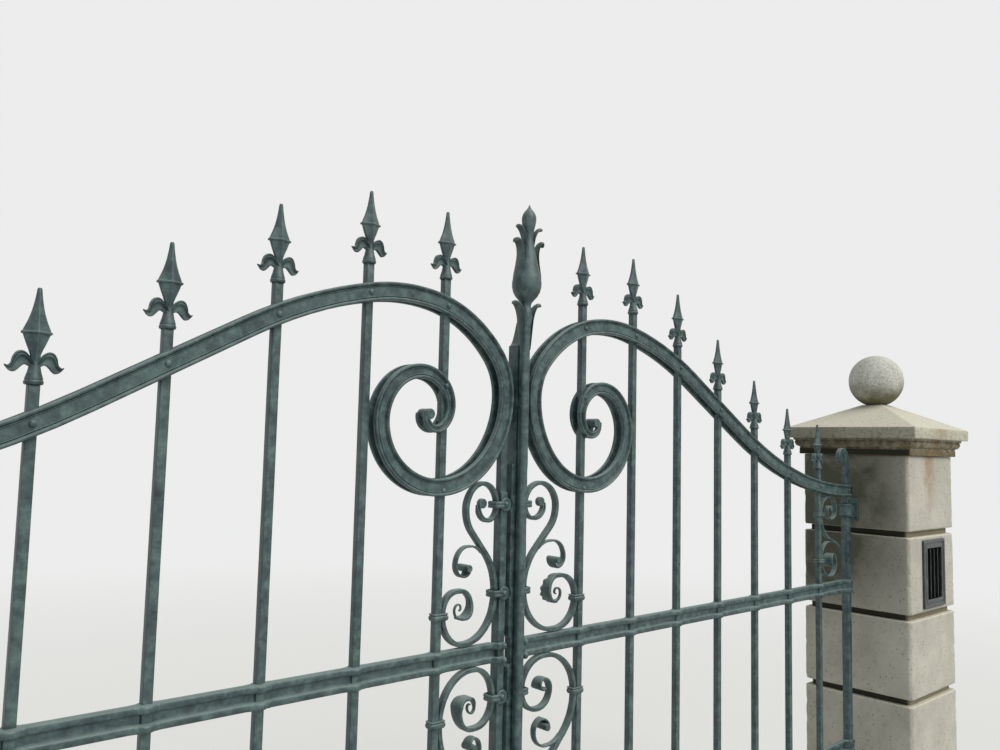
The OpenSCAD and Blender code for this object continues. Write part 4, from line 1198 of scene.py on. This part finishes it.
def hinge_stile():
    """Square stile with a round neck in each hinge ring, forged thinner between the arch bands
    and bent over at the top into a crook."""
    shape = Shape()
    neck = RING_H / 2 + 1
    waist = ARCH_FOOT_Z - BAND_W / 2 - 3
    low, top = sorted(HINGE_ZS)
    for z0, z1 in ((GROUND_GAP, low - neck), (low + neck, top - neck), (top + neck, waist)):
        shape.add(straight_bar(HINGE_X, z0, z1, STILE, STILE, 2.6, 0.0))
    upper_half = [(13, neck - 1), (12.4, neck), (9, neck + 1)]
    lower_half = [(r, -z) for r, z in upper_half[::-1]]
    for z in HINGE_ZS:
        shape.add(lathe(lower_half + upper_half, 36), (HINGE_X, 0, z))
    shape.add(straight_bar(HINGE_X, waist - 1, CROOK_Z, STILE, BAR, 2.6, 0.0))
    crook = walk(CROOK_STEPS, (HINGE_X, CROOK_Z - 0.3), 90, STILE)
    return shape.add(ribbon(crook, [(0, BAR), (1, BAR)], 2.6))


for side in SIDES:
    make_leaf_part(side + "_hinge_stile", hinge_stile())


# Meeting stiles, cover strip and bud
for side in SIDES:
    dress(side + "_meeting_stile", IRON, 1.2)

PLATE_LEFT, PLATE_RIGHT = POST_X - 20.5, POST_X + 20.5
PLATE_FRONT, PLATE_BACK, LIP_BACK = -17.0, -12.0, 2.0
HOLLOW_R = 17.6
NOTCH_X, NOTCH_HALF = -19.5, (27, 33)   # half its height, at the bottom of the notch and at its mouth


def plate_edge(z):
    """Left edge of the cover plate: hollowed round each washer and cut back beside each rail."""
    edge = np.full(len(z), PLATE_LEFT)
    for strap in STRAP_ZS:
        hollow = np.sqrt(np.clip(HOLLOW_R ** 2 - (z - strap) ** 2, 0, None)) - WASHER_X
        edge = np.maximum(edge, hollow)
    for rail_z in RAIL_ZS:
        edge = np.maximum(edge, np.interp(np.abs(z - rail_z), NOTCH_HALF, [NOTCH_X, PLATE_LEFT]))
    return edge


def cover_plate():
    """Sheet strip that covers the gap between the leaves, its left edge turned back."""
    fine = [np.arange(z - 18, z + 18, 1.5) for z in STRAP_ZS]
    fine += [np.arange(z - 36, z + 36, 3) for z in RAIL_ZS]
    zs = np.unique(np.concatenate([np.arange(POST_FOOT, PLATE_TOP, 24), [PLATE_TOP]] + fine))
    rings = []
    for z, left in zip(zs, plate_edge(zs)):
        outline = [(left + 0.6, PLATE_FRONT), (PLATE_RIGHT - 0.6, PLATE_FRONT),
                   (PLATE_RIGHT, PLATE_FRONT + 0.6), (PLATE_RIGHT, PLATE_BACK), (left + 4.5, PLATE_BACK),
                   (left + 4.5, LIP_BACK - 0.5), (left + 4.0, LIP_BACK), (left + 0.6, LIP_BACK),
                   (left, LIP_BACK - 0.6), (left, PLATE_FRONT + 0.6)]
        rings.append(crosswise(outline, 2, z))
    return Shape().add(tube(rings))


make_dressed("cover_plate", cover_plate(), "right_leaf", IRON, side=SIDES["right"])


POST_Y = (POST_FRONT + POST_BACK) / 2
# The backing bar's top, from its shoulder on the left to where it dies into the post
BACKING_TOP = [(-16.77, 1820), (-13, 1822), (-9, 1828), (-5, 1838), (-1.5, 1850), (1.5, 1862), (4, 1873),
               (6.2, 1879)]


def cover_post():
    """The post in front of the gap, hammered and well rounded, and the bar behind it that backs
    it between the volutes, its top drawn down in a hollow curve."""
    zs = np.concatenate([[POST_FOOT, POST_FOOT + 1.5], np.arange(POST_FOOT + 12, BUD_Z - 6, 12), [BUD_Z]])
    slim = np.interp(zs, [POST_FOOT, POST_FOOT + 1.5], [1.6, 0])
    depth = POST_BACK - POST_FRONT
    rings = level_rings(zip(slim, zs), lambda size: soft_rectangle(POST_W - size, depth - size, 8.5, 6))
    out = rings[..., :2] / [POST_W / 2, depth / 2]
    hammer = 1.1 * noise(rings * [1, 1, 0.3] + [0, 40, 0], 7.0, 21)
    flare = np.interp(zs, [BUD_Z - 70, BUD_Z], [0, 2.6])
    rings[..., :2] += (flare[:, None] - hammer)[..., None] * out
    shape = Shape().add(tube(rings), (POST_X, POST_Y, 0))
    back_y = MEET_D / 2
    front_y = POST_BACK - 0.3
    rings = []
    for x, top in BACKING_TOP:
        outline = [(front_y, PLATE_TOP), (front_y, top - 0.6), (front_y + 1, top), (back_y - 1, top),
                   (back_y, top - 0.6), (back_y, PLATE_TOP)]
        rings.append(crosswise(outline, 0, x))
    return shape.add(tube(rings))


make_dressed("cover_post", cover_post(), "right_leaf", IRON, side=SIDES["right"])


# Bud: radius and height from its foot
BUD_CORE = [(13, -20), (15, -8), (16, 4), (15.6, 12), (13.6, 19), (11.6, 24), (11, 29), (13, 35),
            (18.5, 41.5), (25, 49), (30, 58.5), (32.6, 69), (33, 79), (31.2, 92), (27.8, 106),
            (24.2, 121), (20.8, 136), (17.6, 149), (14.8, 161), (12.3, 172), (11.2, 180), (11.4, 190),
            (13, 202), (15.2, 212), (16.4, 221), (16.3, 228), (14.4, 235), (10.6, 241.5), (6, 247),
            (3, 251.5), (1.6, 255), (0.5, 258)]
# Each leaf's outer line (radius, height), its half width, and how far its edges fall back. The
# big leaves rise out of the bulb above its widest part.
BIG_LEAF = [(26, 50, 8, 3), (30.4, 60, 11, 3.6), (32.8, 72, 13, 3.8), (33.2, 84, 14, 3.8),
            (31.8, 97, 14.4, 3.6), (29.4, 110, 14.2, 3.6), (27, 124, 13.6, 3.4), (25.2, 138, 13, 3),
            (24.8, 150, 12.5, 2), (26, 161, 12.3, 0.6), (29, 170, 12, -1.2), (33, 174.5, 11.5, -2.8),
            (37, 174, 10.5, -3.6), (39, 170, 8.5, -3.2), (38.4, 166, 6, -2.4)]
UPPER_LEAF = [(12.5, 150, 8, 1.8), (13.5, 165, 9, 2), (15, 180, 9.5, 1.4), (18, 192, 10, 0),
              (22.5, 200.5, 10, -1.4), (27.5, 205, 9, -2.4), (32, 205, 7.5, -2.6), (34, 201.5, 5, -2)]
LOWER_LEAF = [(11, -70, 9, 2), (12.6, -48, 11, 2.4), (14.4, -25, 12.5, 3), (16.6, -2, 13.5, 3),
              (20, 16, 13.5, 1.6), (25, 28, 12.5, -1), (31, 33.5, 10.5, -2.6), (35.5, 32.5, 8, -2.8),
              (37, 28.5, 5, -1.8)]


def bud_leaf(rows, thick=3.0):
    """Curled leaf of the bud: a bowed strip that hugs it, then rolls out with drooping edges."""
    r, z, half, fall = smooth_rows(rows, 36)
    line = np.column_stack([r, z])
    way = np.gradient(line, axis=0)
    way /= np.linalg.norm(way, axis=1, keepdims=True)
    out = np.column_stack([way[:, 1], -way[:, 0]])
    across = np.linspace(-1, 1, 11)
    body = np.sqrt(1 - 0.9 * np.abs(across) ** 8)
    outer, inner = [], []
    for v, full in zip(across, body):
        edge = line - out * (fall * v * v)[:, None]
        outer.append(crosswise(edge, 1, half * v))
        inner.append(crosswise(edge - out * thick * full, 1, half * v))
    return tube(np.array(outer + inner[::-1]).transpose(1, 0, 2))


LEAF_TURNS = (-10, 178)
BUD_LEAN = 0.02   # sideways, as a share of the height


def bud():
    """Forged bud: a bulb and a closed bud above it, hugged by three pairs of curled leaves. It
    leans a little to the right."""
    shape = Shape().add(lathe(BUD_CORE, 48))
    for rows in (BIG_LEAF, UPPER_LEAF, LOWER_LEAF):
        leaf = bud_leaf(rows)
        for a in LEAF_TURNS:
            shape.add(leaf, turn=about_z(a))
    points, faces = shape.part()
    return points + np.outer(np.clip(points[:, 2], 0, None), [BUD_LEAN, 0, 0]), faces


make_dressed("bud_finial", Shape().add(bud(), (POST_X, POST_Y, BUD_Z)), "right_leaf", IRON,
             side=SIDES["right"], sharp=45)


# Floor, light and camera
BACKDROP = srgb("#ecedec")
# In metres: half the floor's width, and how far from the gate it starts and ends melting away
FLOOR_REACH = 60.0
MELT_FROM, MELT_TO = 3.5, 11.0


def seen_rays(tree):
    """1 for the rays that see the backdrop: the camera's, and those in gloss and glass."""
    ray = put(tree, "ShaderNodeLightPath").outputs
    seen = ray["Is Camera Ray"]
    for other in ("Is Glossy Ray", "Is Transmission Ray"):
        seen = put(tree, "ShaderNodeMath", links={0: seen, 1: ray[other]}, operation="MAXIMUM").outputs[0]
    return seen


def studio_floor():
    """Matt pale floor that melts into the backdrop some way behind the gate."""
    made, tree, shader, place = start_material("matt_studio_floor", "#d9d9d6")
    shader.inputs["Roughness"].default_value = 0.9
    shader.inputs["Specular IOR Level"].default_value = 0.0
    centred = put(tree, "ShaderNodeMapping", {"Location": (-MIDDLE_X / METRE, 0.0, 0.0)},
                  {"Vector": place.outputs["Object"]})
    away = put(tree, "ShaderNodeVectorMath", links={0: centred.outputs[0]},
               operation="LENGTH").outputs["Value"]
    far = put(tree, "ShaderNodeMapRange", {"From Min": MELT_FROM, "From Max": MELT_TO}, {"Value": away},
              interpolation_type="SMOOTHSTEP").outputs["Result"]
    amount = put(tree, "ShaderNodeMath", links={0: far, 1: seen_rays(tree)}, operation="MULTIPLY")
    glow = put(tree, "ShaderNodeEmission", {"Color": BACKDROP, "Strength": 1.0})
    mix = put(tree, "ShaderNodeMixShader",
              links={0: amount.outputs[0], 1: shader.outputs[0], 2: glow.outputs[0]})
    tree.links.new(mix.outputs[0], tree.nodes["Material Output"].inputs["Surface"])
    return made


floor_corners = [(x * FLOOR_REACH, y * FLOOR_REACH, 0) for x, y in ((-1, -1), (1, -1), (1, 1), (-1, 1))]
floor_mesh = bpy.data.meshes.new("floor")
floor_mesh.from_pydata(floor_corners, [], [(0, 1, 2, 3)])
floor_mesh.materials.append(studio_floor())
floor = bpy.data.objects.new("floor", floor_mesh)
bpy.context.scene.collection.objects.link(floor)

world = bpy.data.worlds.new("soft_studio")
bpy.context.scene.world = world
world.use_nodes = True
sky = world.node_tree
sky.nodes.clear()
soft_light = put(sky, "ShaderNodeBackground", {"Color": (0.93, 0.97, 1.0, 1.0), "Strength": 0.47})
backdrop = put(sky, "ShaderNodeBackground", {"Color": BACKDROP, "Strength": 1.0})
sky_mix = put(sky, "ShaderNodeMixShader",
              links={0: seen_rays(sky), 1: soft_light.outputs[0], 2: backdrop.outputs[0]})
put(sky, "ShaderNodeOutputWorld", links={"Surface": sky_mix.outputs[0]})


def aimed(direction):
    """Rotation that points an object's -Z along a direction."""
    from_z = -np.array(direction, float) / np.linalg.norm(direction)
    x = np.cross([0, 0, 1.0], from_z)
    x /= np.linalg.norm(x)
    y = np.cross(from_z, x)
    return Matrix(np.column_stack([x, y, from_z]).tolist()).to_4x4()


sun = bpy.data.lights.new("high_soft_window", "SUN")
sun.energy = 2.7
sun.angle = math.radians(50)
sun.color = (1.0, 0.98, 0.95)
sun_object = bpy.data.objects.new("high_soft_window", sun)
bpy.context.scene.collection.objects.link(sun_object)
sun_object.matrix_world = aimed((-0.15, 0.8, -0.9))

# The photo's camera: how it is turned, where it stands in metres, and its focal length as a
# share of the picture's width
YAW, TILT, LEAN = math.radians(41.92), math.radians(4.951), math.radians(1.351)
EYE = (0.4912, -1.3824, 1.591)
FOCAL = 0.852
SENSOR_W = 36.0
forward = np.array([math.sin(YAW) * math.cos(TILT), math.cos(YAW) * math.cos(TILT), math.sin(TILT)])
level = np.array([math.cos(YAW), -math.sin(YAW), 0.0])
upright = np.cross(level, forward)
right = level * math.cos(LEAN) + upright * math.sin(LEAN)
up = -level * math.sin(LEAN) + upright * math.cos(LEAN)
camera = bpy.data.cameras.new("street_eye")
camera.lens = SENSOR_W * FOCAL
camera.sensor_width = SENSOR_W
camera.clip_end = 200.0
camera_object = bpy.data.objects.new("street_eye", camera)
bpy.context.scene.collection.objects.link(camera_object)
turned = Matrix(np.column_stack([right, up, -forward]).tolist()).to_4x4()
camera_object.matrix_world = Matrix.Translation(EYE) @ turned
bpy.context.scene.camera = camera_object
bpy.context.scene.view_settings.view_transform = "Standard"
